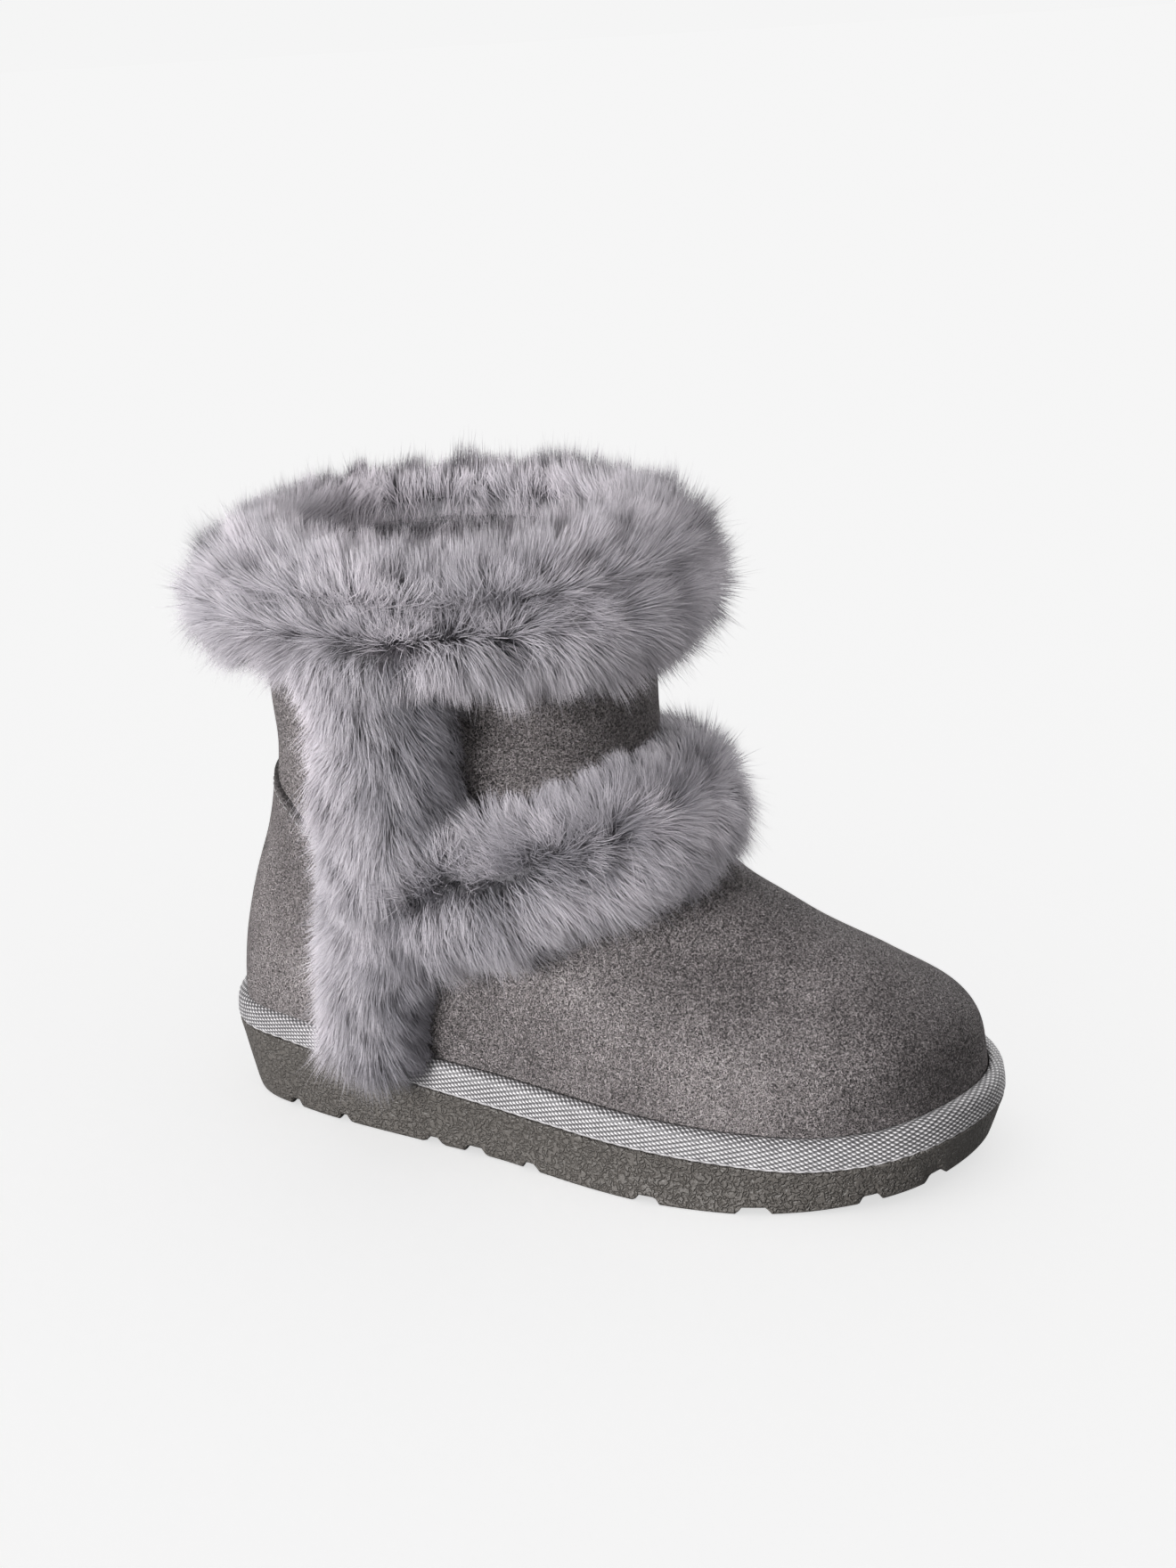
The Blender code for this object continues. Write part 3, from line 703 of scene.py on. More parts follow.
# The upper is a fine suede face with soft troughs and ridges, and a plain inner face behind it.
upperLook = {
    "rows": 134,
    "columns": 252,
    "innerRows": 10,
    # from and to as (level, around), half width and depth in metres; a negative depth is a ridge
    "troughs": [
        ((1.3, 3.5), (2.4, 3.7), 0.0045, 0.0007),
        ((1.2, 4.35), (2.3, 4.5), 0.0050, -0.0006),
        ((1.2, 4.85), (2.6, 4.9), 0.0055, 0.0006),
        ((3.4, 4.1), (4.6, 5.6), 0.0080, 0.0007),
        ((2.4, 5.0), (3.4, 6.2), 0.0090, -0.0005),
        ((5.0, 4.6), (5.6, 6.4), 0.0060, 0.0008),
        ((1.3, 9.6), (2.6, 9.3), 0.0050, 0.0007),
        ((3.6, 9.6), (4.8, 8.3), 0.0080, 0.0007),
        ((4.6, 10.6), (5.8, 9.2), 0.0070, 0.0009),
        ((6.9, 1.2), (7.3, 3.2), 0.0070, 0.0006),
        ((6.6, 11.3), (7.2, 13.0), 0.0070, 0.0007),
        ((2.6, 12.6), (4.2, 13.2), 0.0080, 0.0005),
        ((3.4, 7.0), (4.6, 7.0), 0.0150, -0.0009),
        ((1.7, 7.0), (2.5, 7.0), 0.0130, 0.0005),
        ((1.07, 4.85), (1.88, 5.55), 0.0075, -0.0009),
        ((1.88, 5.55), (2.4, 6.88), 0.0080, -0.0006),
        ((1.2, 5.5), (1.6, 6.8), 0.0080, 0.0005),
    ],
    # where the suede lies darker or lighter, partly the nap's own tone and partly painted shade at the toe's
    # front and under the band: a place as (level, around), radius in metres and amount
    "napAndShade": [
        ((1.6, 6.1), 0.019, -0.17),
        ((1.6, 7.6), 0.019, -0.16),
        ((4.6, 6.9), 0.013, -0.16),
        ((1.7, 4.5), 0.015, 0.10),
        ((3.0, 3.9), 0.010, 0.03),
        ((3.2, 4.8), 0.010, -0.10),
        ((1.7, 3.3), 0.010, -0.09),
        ((2.4, 4.1), 0.010, 0.06),
        ((4.2, 5.2), 0.011, -0.07),
        ((2.1, 3.9), 0.009, -0.04),
        ((4.3, 4.0), 0.010, -0.05),
    ],
}


liningLook = {
    "rows": 60,
    "columns": 140,
    "behind": 0.0019,  # from the suede's face to the lining's hidden side
    "backStep": 8,  # the hidden side takes every eighth row
    "lumps": 0.0004,
    "lumpTable": (50, 30),
}


def troughDepth(points):
    # sum of rounded valleys: depth x exp(-(distance to the line / half width)^2)
    depth = np.zeros(points.shape[:-1])
    for start, end, width, deep in upperLook["troughs"]:
        line = upperPoint([start[0], end[0]], [start[1], end[1]])
        along = line[1] - line[0]
        share = np.clip(((points - line[0]) @ along) / (along @ along), 0.0, 1.0)
        off = np.linalg.norm(points - line[0] - share[..., None] * along, axis=-1)
        depth += deep * bell(off, 0.0, width)
    return depth


def suedeFace(level, around, outward=0.0):
    # the upper's outer face with its troughs, moved out along its normals
    face = upperPoint(level, around)
    return face + upperNormal(level, around) * (outward - troughDepth(face))[..., None]


def napMap(points):
    # sum of soft round patches of nap tone and painted shade: amount x exp(-(distance / radius)^2), about a
    # half
    tone = np.full(points.shape[:-1], 0.5)
    for place, radius, amount in upperLook["napAndShade"]:
        tone += amount * bell(np.linalg.norm(points - upperPoint(*place), axis=-1), 0.0, radius)
    return np.stack([tone, np.full_like(tone, 0.5)], -1)


def makeUpper():
    # the outer face carried up the rings and the inner face back down, closed at both edges
    levels = np.linspace(0.0, lastShape["topLevel"], upperLook["rows"])[:, None]
    around = roundPlaces(upperLook["columns"])[None, :]
    outer = suedeFace(levels, around)
    innerLevels = np.linspace(lastShape["topLevel"], 0.0, upperLook["innerRows"])[:, None]
    inner = suedeFace(innerLevels, around, -lastShape["suede"])
    points = np.concatenate([outer, inner])
    quads = gridFaces(len(points), upperLook["columns"], True, True)
    # its map carries the patches of nap tone and painted shade
    napAndShade = napMap(points)
    return makePiece("suedeUpper", points, quads, suede, ("upper",), uv=napAndShade, uvName="napMap")


def makeLining():
    # pile behind the suede, inside the boot, from the sole's top to the shaft's top
    around = roundPlaces(liningLook["columns"])[None, :]
    levels = np.linspace(0.0, lastShape["topLevel"], liningLook["rows"])[:, None]
    plain = levels[:: -liningLook["backStep"]]
    back = upperPoint(plain, around) - upperNormal(plain, around) * liningLook["behind"]
    normal = upperNormal(levels, around)
    along, up = np.broadcast_arrays(around / lastShape["endAround"], levels / lastShape["topLevel"])
    lumps = softNoise(np.random.default_rng(5), *liningLook["lumpTable"], along, up, True)
    face = upperPoint(levels, around) - normal * lastShape["wall"]
    face -= normal * (liningLook["lumps"] * lumps)[..., None]
    points = np.concatenate([back, face])
    quads = gridFaces(len(points), liningLook["columns"], True, True)
    return makePiece("plushLiningShell", points, quads, fleece)


makeUpper()
makeLining()


def levelAtHeight(around, height):
    # the level at which each place round the upper reaches a height, one column of the table at a time
    fine = np.linspace(0.0, lastShape["topLevel"], 181)
    walls = upperPoint(fine[:, None], around[None, :])[..., 2]
    return np.array([np.interp(z, wall, fine) for z, wall in zip(height, walls.T)])


# The heel counter is a second layer of suede whose top edge is turned in and sewn down.
counterLook = {
    # place round the ring from the back, height of the counter's top edge
    "edge": np.array(
        [
            (0.00, 0.0905),
            (1.00, 0.0898),
            (1.60, 0.0880),
            (2.00, 0.0860),
            (2.30, 0.0795),
            (2.50, 0.0660),
            (2.62, 0.0440),
            (2.70, 0.0262),
        ]
    ),
    "foot": 0.55,  # the level that it starts at, behind the tape
    "least": 0.02,
    "rise": 0.0155,  # about how far apart two levels are, in metres
    "columns": 120,
    "wallRows": 28,
    "edgeRows": 12,
    "lift": 0.00012,
    "behind": 0.00004,
    "thickness": 0.0009,
    "stitchEnd": 0.25,  # the stitches stop this far round from the counter's ends
    "stitchIn": 0.0026,
    "stitchPitch": 0.0027,
    "stitchLength": 0.0019,
    "stitchRadius": 0.00026,
    "stitchLift": 0.00006,
    "stitchRings": 7,
    "stitchSides": 8,
}


def counterTop(around):
    # height of the counter's top edge; both sides alike
    turn = np.mod(around, lastShape["endAround"])
    return tableAt(counterLook["edge"], np.minimum(turn, lastShape["endAround"] - turn))[..., 0]


def makeCounter():
    # a pad that stands out by its thickness and rolls under along its top edge, like a quarter circle
    reach, low = counterLook["edge"][-1, 0], counterLook["foot"]
    around = np.linspace(-reach, reach, counterLook["columns"])
    edge = levelAtHeight(np.mod(around, lastShape["endAround"]), counterTop(around))
    wallShare = np.linspace(0.0, 0.93, counterLook["wallRows"])
    share = np.concatenate([wallShare, np.linspace(0.94, 1.0, counterLook["edgeRows"])])[:, None]
    level = low + np.maximum(edge - low, counterLook["least"])[None, :] * share
    drop = (edge - low)[None, :] * counterLook["rise"] * (1 - share)
    roll = np.sqrt(np.clip(1 - (1 - np.clip(drop / counterLook["thickness"], 0.0, 1.0)) ** 2, 0.0, 1.0))
    outward = counterLook["lift"] + counterLook["thickness"] * roll
    around = np.broadcast_to(around[None, :], level.shape)
    face, normal = upperPoint(level, around), upperNormal(level, around)
    face = face - normal * troughDepth(face)[..., None]
    points = np.stack([face + normal * outward[..., None], face + normal * counterLook["behind"]])
    faces = padFaces(*level.shape)
    # the map's second coordinate is the drop from the fold, for the painted shade in the crease
    seam = np.stack([np.stack([around, drop], -1)] * 2)
    return makePiece("heelCounter", points, faces, counterSuede, uv=seam, uvName="seamMap")


def makeStitches():
    # short sunk capsules along a line just inside the counter's edge
    reach = counterLook["edge"][-1, 0] - counterLook["stitchEnd"]
    fine = np.linspace(-reach, reach, 1500)
    height = counterTop(fine) - counterLook["stitchIn"]
    level = levelAtHeight(np.mod(fine, lastShape["endAround"]), height)
    line, out = upperPoint(level, fine), upperNormal(level, fine)
    length = np.concatenate([[0.0], np.cumsum(np.linalg.norm(np.diff(line, axis=0), axis=1))])

    def lineAt(table, place):
        return np.stack([np.interp(place, length, table[:, axis]) for axis in range(3)], -1)

    middles = np.arange(counterLook["stitchPitch"], length[-1], counterLook["stitchPitch"])
    centre, normal = lineAt(line, middles), lineAt(out, middles)
    along = unit(lineAt(line, middles + 0.0004) - centre)
    across = np.cross(normal, along)
    rings, sides = counterLook["stitchRings"], counterLook["stitchSides"]
    place = np.linspace(-1.0, 1.0, rings)
    width = np.sqrt(np.clip(1 - np.abs(place) ** 3, 0.02, 1.0)) * counterLook["stitchRadius"]
    turn = np.arange(sides) / sides * 2 * np.pi
    base = centre + normal * (counterLook["thickness"] + counterLook["stitchLift"])
    rise = np.cos(turn)[None, None, :, None] * normal[:, None, None, :]
    side = np.sin(turn)[None, None, :, None] * across[:, None, None, :]
    run = (place * counterLook["stitchLength"] / 2)[None, :, None, None] * along[:, None, None, :]
    points = base[:, None, None, :] + run + (rise + side) * width[None, :, None, None]
    walls = gridFaces(rings, sides, False, True)
    caps = np.array([(0, 3, 2, 1), (0, 5, 4, 3), (0, 7, 6, 5)])
    caps = np.concatenate([caps, caps[:, ::-1] + (rings - 1) * sides])
    faces = np.concatenate([walls[:, ::-1], caps[:, ::-1]])
    steps = np.arange(len(middles))[:, None, None] * rings * sides
    return makePiece("counterStitches", points, (faces[None] + steps).reshape(-1, 4), thread)


makeCounter()
makeStitches()

# The twill tape lies on the sole's edge.
# By place along the length (metres, heel positive): how far the tape's lower and upper edges rise over the
# plain last, and how far the tread's edge stands out.
edgeLines = np.array(
    [
        # y, lower edge, upper edge, tread outward
        (0.098, 0.0034, 0.0013, -0.0022),
        (0.075, 0.0032, 0.0013, -0.0019),
        (0.055, 0.0025, 0.0009, -0.0012),
        (0.030, 0.0006, 0.0001, -0.0003),
        (0.010, 0.0000, 0.0000, 0.0004),
        (-0.010, 0.0000, 0.0000, 0.0016),
        (-0.028, -0.0001, -0.0003, 0.0023),
        (-0.046, -0.0009, -0.0012, 0.0022),
        (-0.062, -0.0017, -0.0019, 0.0004),
        (-0.078, -0.0008, -0.0014, -0.0014),
        (-0.090, 0.0008, 0.0000, -0.0021),
        (-0.100, 0.0016, 0.0004, -0.0023),
    ]
)


def edgeLine(y, column):
    # one column of the table above at a place along the length: 0 lower, 1 upper, 2 tread
    return tableAt(edgeLines, np.clip(y, edgeLines[-1, 0], edgeLines[0, 0]))[..., column]


def makeTape():
    # a flat ribbon's section carried round the upper, with the ribs of the twill standing up from it
    columns = tapeLook["columns"]
    around = roundPlaces(columns)
    middle = upperPoint(tapeLook["middleLevel"] * np.ones(columns), around)
    steps = np.linalg.norm(np.roll(middle, -1, axis=0) - middle, axis=1)
    run = np.concatenate([[0.0], np.cumsum(steps)[:-1]])
    total = steps.sum()
    climb = np.radians(tapeLook["climb"])
    ribs = round(total * np.sin(climb) / tapeLook["ribPitch"])
    threads = round(total * np.cos(climb) / tapeLook["threadPitch"])
    face = np.linspace(0.0, 1.0, tapeLook["faceRows"])
    frontLevel = lastShape["tapeLevel"] * face
    backLevel = frontLevel[:: -tapeLook["backStep"]]
    level = np.concatenate([frontLevel, backLevel])
    outward = np.concatenate([np.interp(face, *tapeLook["front"]), np.full(len(backLevel), tapeLook["back"])])
    out = levelNormal(level[:, None], around[None, :])
    points = upperPoint(level[:, None], around[None, :])
    rise = level[:, None] / lastShape["tapeLevel"]
    shift = edgeLine(points[..., 1], 0) * (1 - rise) + edgeLine(points[..., 1], 1) * rise
    points += out * outward[:, None, None]
    points[..., 2] += shift
    steps = np.linalg.norm(np.diff(points, axis=0), axis=-1).mean(axis=1)
    height = np.concatenate([[0.0], np.cumsum(steps)])
    ribPhase = ribs * run[None, :] / total - height[:, None] * np.cos(climb) / tapeLook["ribPitch"]
    threadPhase = threads * run[None, :] / total + height[:, None] * np.sin(climb) / tapeLook["threadPitch"]
    top = height[len(face) - 1]
    fade = np.clip((top - height) / tapeLook["ribFade"], 0.0, 1.0)[:, None]
    crown = np.abs(np.sin(np.pi * ribPhase)) ** tapeLook["ribRound"] * fade
    points += out * (tapeLook["ribHeight"] * crown)[..., None]
    uv = np.stack([ribPhase, threadPhase], -1)
    quads = gridFaces(len(level), columns, True, True)
    twill, stands = tapeMaterial(ribs, threads), ("foxing_tape",)
    piece = makePiece("twillTapeBand", points, quads, twill, stands, uv=uv, uvName="weaveMap")
    # the seam's faces wrap back to the start of the map, so their far corners are read one turn on
    layer = piece.data.uv_layers["weaveMap"]
    places = np.empty(len(piece.data.loops) * 2)
    layer.uv.foreach_get("vector", places)
    places = places.reshape(-1, 4, 2)
    seam = np.arange(len(quads)) % columns == columns - 1
    places[seam, 1:3] += (ribs, threads)
    layer.uv.foreach_set("vector", places.ravel())
    return piece


makeTape()


def makePlate(name, side, across, surface, material, stands, turned=False):
    # a closed plate: rings of its edge, then strips from each place of one side to its partner on the other,
    # at the heights that surface(points, share of the way across) gives, and plain strips on its hidden face
    rings, count = side.shape[:2]
    half = count // 2
    start = side[-1]
    outer, inner = start[: half + 1], np.concatenate([start[:1], start[: half - 1 : -1]])
    share = np.linspace(0.0, 1.0, across)[1:-1]
    strips = outer[1:-1, None, :] + (inner[1:-1] - outer[1:-1])[:, None, :] * share[None, :, None]
    strips[..., 2] = surface(strips, share)
    lastRing = (rings - 1) * count
    grid = rings * count + np.arange(strips.shape[0] * strips.shape[1]).reshape(strips.shape[:2])
    left, right = np.arange(1, half), count - np.arange(1, half)
    full = np.concatenate([lastRing + left[:, None], grid, lastRing + right[:, None]], axis=1)
    plate = np.stack([full[:-1, :-1], full[:-1, 1:], full[1:, 1:], full[1:, :-1]], -1).reshape(-1, 4)
    lid = np.stack([left[:-1], left[1:], right[1:], right[:-1]], -1)
    heelTip, toeTip = np.full(across - 1, lastRing), np.full(across - 1, lastRing + half)
    tris = np.concatenate(
        [
            np.stack([heelTip, full[0, 1:], full[0, :-1]], -1),
            np.stack([toeTip, full[-1, :-1], full[-1, 1:]], -1),
            [(0, 1, count - 1), (half, half + 1, half - 1)],
        ]
    )
    quads = np.concatenate([gridFaces(rings, count, False, True), plate, lid])
    if turned:
        quads, tris = quads[:, ::-1], tris[:, ::-1]
    points = np.concatenate([side.reshape(-1, 3), strips.reshape(-1, 3)])
    piece = makePiece(name, points, quads, material, stands, tris=tris)
    work = bmesh.new()
    work.from_mesh(piece.data)
    bmesh.ops.recalc_face_normals(work, faces=work.faces)
    work.to_mesh(piece.data)
    work.free()
    return piece


# The moulded sole has a leaning side, and a flat tread with cross grooves between the lugs.
soleLook = {
    "half": 380,  # points along each side
    "across": 42,
    # outward from the upper's edge, share of the side's height
    "side": np.array(
        [
            (-0.0022, 0.0),
            (-0.0011, 0.005),
            (-0.0003, 0.03),
            (0.0002, 0.08),
            (0.0006, 0.16),
            (0.0012, 0.32),
            (0.0020, 0.54),
            (0.0028, 0.78),
            (0.0033, 0.91),
            (0.0034, 0.96),
            (0.0031, 0.99),
            (0.0025, 1.0),
        ]
    ),
    "sideRows": 30,
    "hidden": (-0.001, 0.0006),  # outward, of the two rings behind the tape
    # middle and width of each groove (of the length), slant in degrees
    "grooves": (
        (0.3775, 0.015, 0.0),
        (0.2975, 0.015, 0.0),
        (0.1600, 0.020, 3.0),
        (0.1000, 0.026, 3.0),
        (0.0200, 0.018, 5.0),
        (-0.1375, 0.026, 6.0),
        (-0.2650, 0.034, 6.0),
        (-0.3900, 0.020, 3.0),
        (-0.4470, 0.014, 0.0),
    ),
    "outerEdge": -0.037,
    "grooveDepth": 0.0017,
    "grooveSlope": 0.0009,
    "sipePitch": 0.0042,
    "sipeDepth": 0.0005,
    "sipeWave": 0.0016,  # how far a sipe waves, over a length like its pitch
    "sipeEdge": (0.72, 0.14),  # where in its pitch a sipe starts, and over how much it deepens
    "border": 0.10,  # the share of the width along each edge that the sipes fade out over
}


def treadPattern(x, y, inside):
    # how far the tread is cut in: grooves with sloping walls, and fine sipes that wave across the lugs
    depth = np.zeros_like(y)
    slope = soleLook["grooveSlope"]
    for middle, width, slant in soleLook["grooves"]:
        turn = np.radians(slant)
        ahead, aside = y - middle * lastShape["length"], x - soleLook["outerEdge"]
        off = np.abs(ahead * np.cos(turn) - aside * np.sin(turn))
        edge = (width * lastShape["length"] / 2 + slope / 2 - off) / slope
        depth = np.maximum(depth, soleLook["grooveDepth"] * np.clip(edge, 0.0, 1.0))
    wave = y + soleLook["sipeWave"] * np.sin(x / soleLook["sipePitch"])
    sipe = np.abs((wave / soleLook["sipePitch"]) % 1.0 - 0.5) * 2.0
    start, ease = soleLook["sipeEdge"]
    return np.maximum(depth, soleLook["sipeDepth"] * np.clip((sipe - start) / ease, 0.0, 1.0) * inside)


def makeSole():
    # the side's section carried round the upper's edge, stretched between the tread and the tape
    half = soleLook["half"]
    front, end = lastShape["frontAround"], lastShape["endAround"]
    outerAround = np.linspace(0.0, front, half, endpoint=False)
    around = np.concatenate([outerAround, np.linspace(front, end, half, endpoint=False)])
    edge = upperPoint(np.zeros(len(around)), around)
    outward = levelNormal(np.zeros(len(around)), around)
    place = np.linspace(0.0, len(soleLook["side"]) - 1.0, soleLook["sideRows"])
    section = rowsAt(soleLook["side"], place)[::-1]  # from the top down
    lean = edgeLine(edge[:, 1], 2) - soleLook["side"][0, 0]
    away = section[:, 0:1] + (1 - section[:, 1:2]) ** 1.5 * lean[None, :]
    side = edge[None] + outward[None] * away[..., None]
    base = treadHeight(side[..., 0], side[..., 1]) + treadPattern(side[..., 0], side[..., 1], 0.0)
    top = soleTop(side[..., 1]) + edgeLine(side[..., 1], 0)
    side[..., 2] = base + section[:, 1:2] * (top - base)
    # behind the tape the side turns in over the edge and down to the sole's hidden top
    hidden = np.stack([edge + outward * out for out in soleLook["hidden"]])
    hidden[0, :, 2] = soleTop(edge[:, 1])
    hidden[1, :, 2] = soleTop(edge[:, 1]) + np.maximum(edgeLine(edge[:, 1], 0), 0.0)

    def tread(points, share):
        inside = np.clip(np.minimum(share, 1 - share) / soleLook["border"], 0.0, 1.0)[None, :]
        x, y = points[..., 0], points[..., 1]
        return treadHeight(x, y) + treadPattern(x, y, inside)

    side = np.concatenate([hidden, side])
    return makePlate(
        "mouldedSole", side, soleLook["across"], tread, rubber, ("outsole",), turned=True
    )


makeSole()

footbedLook = {
    "half": 120,
    "across": 40,
    # outward from the upper's edge, height over the sole's top
    "side": np.array([(-0.0048, 0.0), (-0.0047, 0.0016), (-0.0050, 0.0027), (-0.0058, 0.0034)]),
    "crown": 0.0005,
    "lumps": 0.00025,
    "lumpTable": (60, 22),
}


def makeFootbed():
    # crowned pile pad on the sole's top, inside the wall
    around = roundPlaces(2 * footbedLook["half"])
    edge = upperPoint(np.zeros(len(around)), around)
    outward = levelNormal(np.zeros(len(around)), around)
    section = footbedLook["side"]
    side = edge[None] + outward[None] * section[:, 0, None, None]
    side[..., 2] = soleTop(side[..., 1]) + lastShape["gap"] + section[:, 1:2]

    def pile(points, share):
        length = np.linspace(0.0, 1.0, len(points))[:, None]
        table = footbedLook["lumpTable"]
        lumps = softNoise(np.random.default_rng(11), *table, *np.broadcast_arrays(length, share[None, :]))
        base = soleTop(points[..., 1]) + lastShape["gap"] + section[-1, 1]
        return base + footbedLook["crown"] * np.sin(np.pi * share) ** 0.5 + footbedLook["lumps"] * lumps

    return makePlate("plushFootbed", side, footbedLook["across"], pile, fleece, ("insole",))


makeFootbed()

# The fur is an undercoat under thousands of tapered hairs, gathered into soft locks.
cuffRows = np.array(
    [
        # level, lift, outward: the plush's dense face from the hem, over the rim and down inside
        (8.18, 0.0000, 0.0028),
        (8.10, 0.0000, 0.0054),
        (8.20, 0.0000, 0.0100),
        (8.40, 0.0000, 0.0142),
        (8.62, 0.0000, 0.0152),
        (8.84, 0.0000, 0.0126),
        (9.00, 0.0034, 0.0086),
        (9.00, 0.0068, 0.0034),
        (9.00, 0.0080, -0.0026),
        (9.00, 0.0064, -0.0080),
        (9.00, 0.0003, -0.0102),
        (8.66, 0.0000, -0.0088),
        (8.30, 0.0000, -0.0062),
    ]
)
cuffShape = {
    "rows": 220,
    "columns": 84,
    # place round, width there, rows of the section above and how much of it each takes, outward, lift
    "swells": [
        (6.5, 1.4, (6.5, 9.0, 11.0, 12.0), (0.0, 0.8, 1.0, 0.5), -0.0085, 0.0015),  # fuller inside the front
        (6.9, 1.6, (0.0, 4.0, 8.0, 9.0), (0.3, 1.0, 0.5, 0.0), -0.0026, 0.0),  # flatter in front
        (3.4, 1.9, (3.0, 5.5, 9.0, 12.0), (0.0, 1.0, 1.0, 0.3), 0.0, -0.0024),  # lower on the outer side
        (0.0, 1.7, (3.0, 6.0, 8.0, 10.0), (0.0, 1.0, 0.7, 0.0), -0.0036, 0.0),  # rounder over the heel
        (14.0, 1.7, (3.0, 6.0, 8.0, 10.0), (0.0, 1.0, 0.7, 0.0), -0.0036, 0.0),
        (0.0, 1.7, (4.0, 8.0, 12.0), (0.0, 1.0, 0.7), 0.0, -0.0030),  # and lower there
        (14.0, 1.7, (4.0, 8.0, 12.0), (0.0, 1.0, 0.7), 0.0, -0.0030),
    ],
    # level and outward of the wool's plain rows along the shaft
    "closing": (
        (8.30, -0.0044),
        (8.62, -0.0044),
        (8.96, -0.0044),
        (8.96, 0.0004),
        (8.50, 0.0004),
        (8.05, 0.0004),
    ),
}
pileShape = {"least": 0.0022, "roundness": 2.6}
stripShape = {
    "rows": 120,
    "columns": 50,
    # level, back edge and front edge (of the length, heel positive)
    "edges": np.array(
        [
            (1.02, 0.2680, 0.174),
            (3.00, 0.2690, 0.152),
            (5.00, 0.2500, 0.102),
            (6.00, 0.2430, 0.088),
            (7.84, 0.2375, 0.070),
        ]
    ),
    "from": 0.74,
    "to": 8.50,
    "pile": 0.010,
    "footEnd": 0.5,  # levels over which the foot rounds off
    "overHem": (7.5, 0.9, 0.0046),  # from this level, over so many levels, it lies on the cuff's hem
}
bandShape = {
    "rows": 170,
    "columns": 46,
    # place round the upper, height of the lower and of the upper edge
    "edges": np.array(
        [
            (2.6, 0.0510, 0.0860),
            (3.5, 0.0575, 0.0885),
            (4.2, 0.0640, 0.0900),
            (5.0, 0.0690, 0.0930),
            (6.0, 0.0715, 0.0965),
            (7.0, 0.0730, 0.0968),
            (8.0, 0.0720, 0.0945),
            (9.0, 0.0695, 0.0915),
            (10.2, 0.0650, 0.0870),
        ]
    ),
    "from": 3.05,
    "to": 10.35,
    "pile": 0.011,
    "thinner": (5.0, 1.5, 0.0006),  # from this place, over so many, it lies lower
    "innerEnd": (9.5, 0.85),  # where the inner end starts to round off, and over how much
}


def gridNormals(points, closed):
    # outward directions of a grid whose rows run along a and whose columns run across b
    if closed:
        ahead = np.roll(points, -1, axis=0) - np.roll(points, 1, axis=0)
    else:
        ahead = np.gradient(points, axis=0)
    across = np.gradient(points, axis=1)
    return unit(ahead), unit(across), unit(np.cross(ahead, across))


def cuffGrid():
    # the section carried round the shaft's top, with soft swells: amount x share of the row x a bell round it
    a = np.linspace(0.0, 1.0, cuffShape["rows"], endpoint=False)[:, None]
    place = np.linspace(0.0, len(cuffRows) - 1.0, cuffShape["columns"])
    level, lift, outward = [column[None, :] + 0.0 * a for column in rowsAt(cuffRows, place).T]
    around = a * lastShape["endAround"] + 0.0 * level
    for middle, width, rows, shares, out, rise in cuffShape["swells"]:
        swell = bell(around, middle, width) * np.interp(place, rows, shares)
        outward = outward + out * swell
        lift = lift + rise * swell
    points = upperPoint(level, around) + levelNormal(level, around) * outward[..., None]
    points[..., 2] += lift
    return points


def dome(x):
    # a round profile: 1 in the middle and 0 at x = 1, the root of 1 - x^roundness
    return np.sqrt(np.clip(1 - x ** pileShape["roundness"], 0.0, 1.0))


def stripGrid():
    # a from the tape up, b from the back edge to the front edge
    edges, low = stripShape["edges"], stripShape["from"]
    level = np.linspace(low, stripShape["to"], stripShape["rows"])
    fine = np.linspace(0.5, 6.5, 300)
    wall = upperPoint(level[:, None], fine[None, :])[..., 1]
    ends = tableAt(edges, np.clip(level, edges[0, 0], edges[-1, 0])) * lastShape["length"]
    around = np.array([np.interp(-end, -row, fine) for end, row in zip(ends, wall)])
    share = np.linspace(0.0, 1.0, stripShape["columns"])[None, :]
    around = around[:, :1] + (around[:, 1:] - around[:, :1]) * share
    level = level[:, None] + 0.0 * share
    foot = 1 - np.clip((level - low) / stripShape["footEnd"], 0.0, 1.0)
    pile = pileShape["least"] + stripShape["pile"] * dome(np.abs(share * 2 - 1)) * dome(foot)
    start, reach, height = stripShape["overHem"]
    pile += height * np.clip((level - start) / reach, 0.0, 1.0) ** 1.5
    face, normal = upperPoint(level, around), upperNormal(level, around)
    return face + normal * pile[..., None], face, normal


def bandGrid():
    # a from the side strip over the instep to the inner side, b from the lower to the upper edge
    around = np.linspace(bandShape["from"], bandShape["to"], bandShape["rows"])
    low, high = [levelAtHeight(around, edge) for edge in tableAt(bandShape["edges"], around).T]
    share = np.linspace(0.0, 1.0, bandShape["columns"])[None, :]
    level = low[:, None] + (high - low)[:, None] * share
    around = around[:, None] + 0.0 * share
    start, reach = bandShape["innerEnd"]
    end = dome(np.clip((around - start) / reach, 0.0, 1.0))
    start, reach, less = bandShape["thinner"]
    peak = bandShape["pile"] - less * np.clip((around - start) / reach, 0.0, 1.0)
    pile = pileShape["least"] + peak * dome(np.abs(share * 2 - 1)) * end
    face, normal = upperPoint(level, around), upperNormal(level, around)
    return face + normal * pile[..., None], face, normal


def hairPaths(place, normal, way, length, lean, turn, droop):
    # three places on each hair: it leaves near the normal and bends over towards its combed direction
    comb = unit(way * np.cos(turn)[:, None] + np.cross(normal, way) * np.sin(turn)[:, None])
    steps = [place]
    for share in (0.0, 1.0):
        angle = lean * (0.70 + 0.50 * share)
        step = normal * np.cos(angle)[:, None] + comb * np.sin(angle)[:, None]
        step[:, 2] -= droop * (0.3 + share)
        steps.append(steps[-1] + unit(step) * (length / 2)[:, None])
    return np.stack(steps, axis=1)


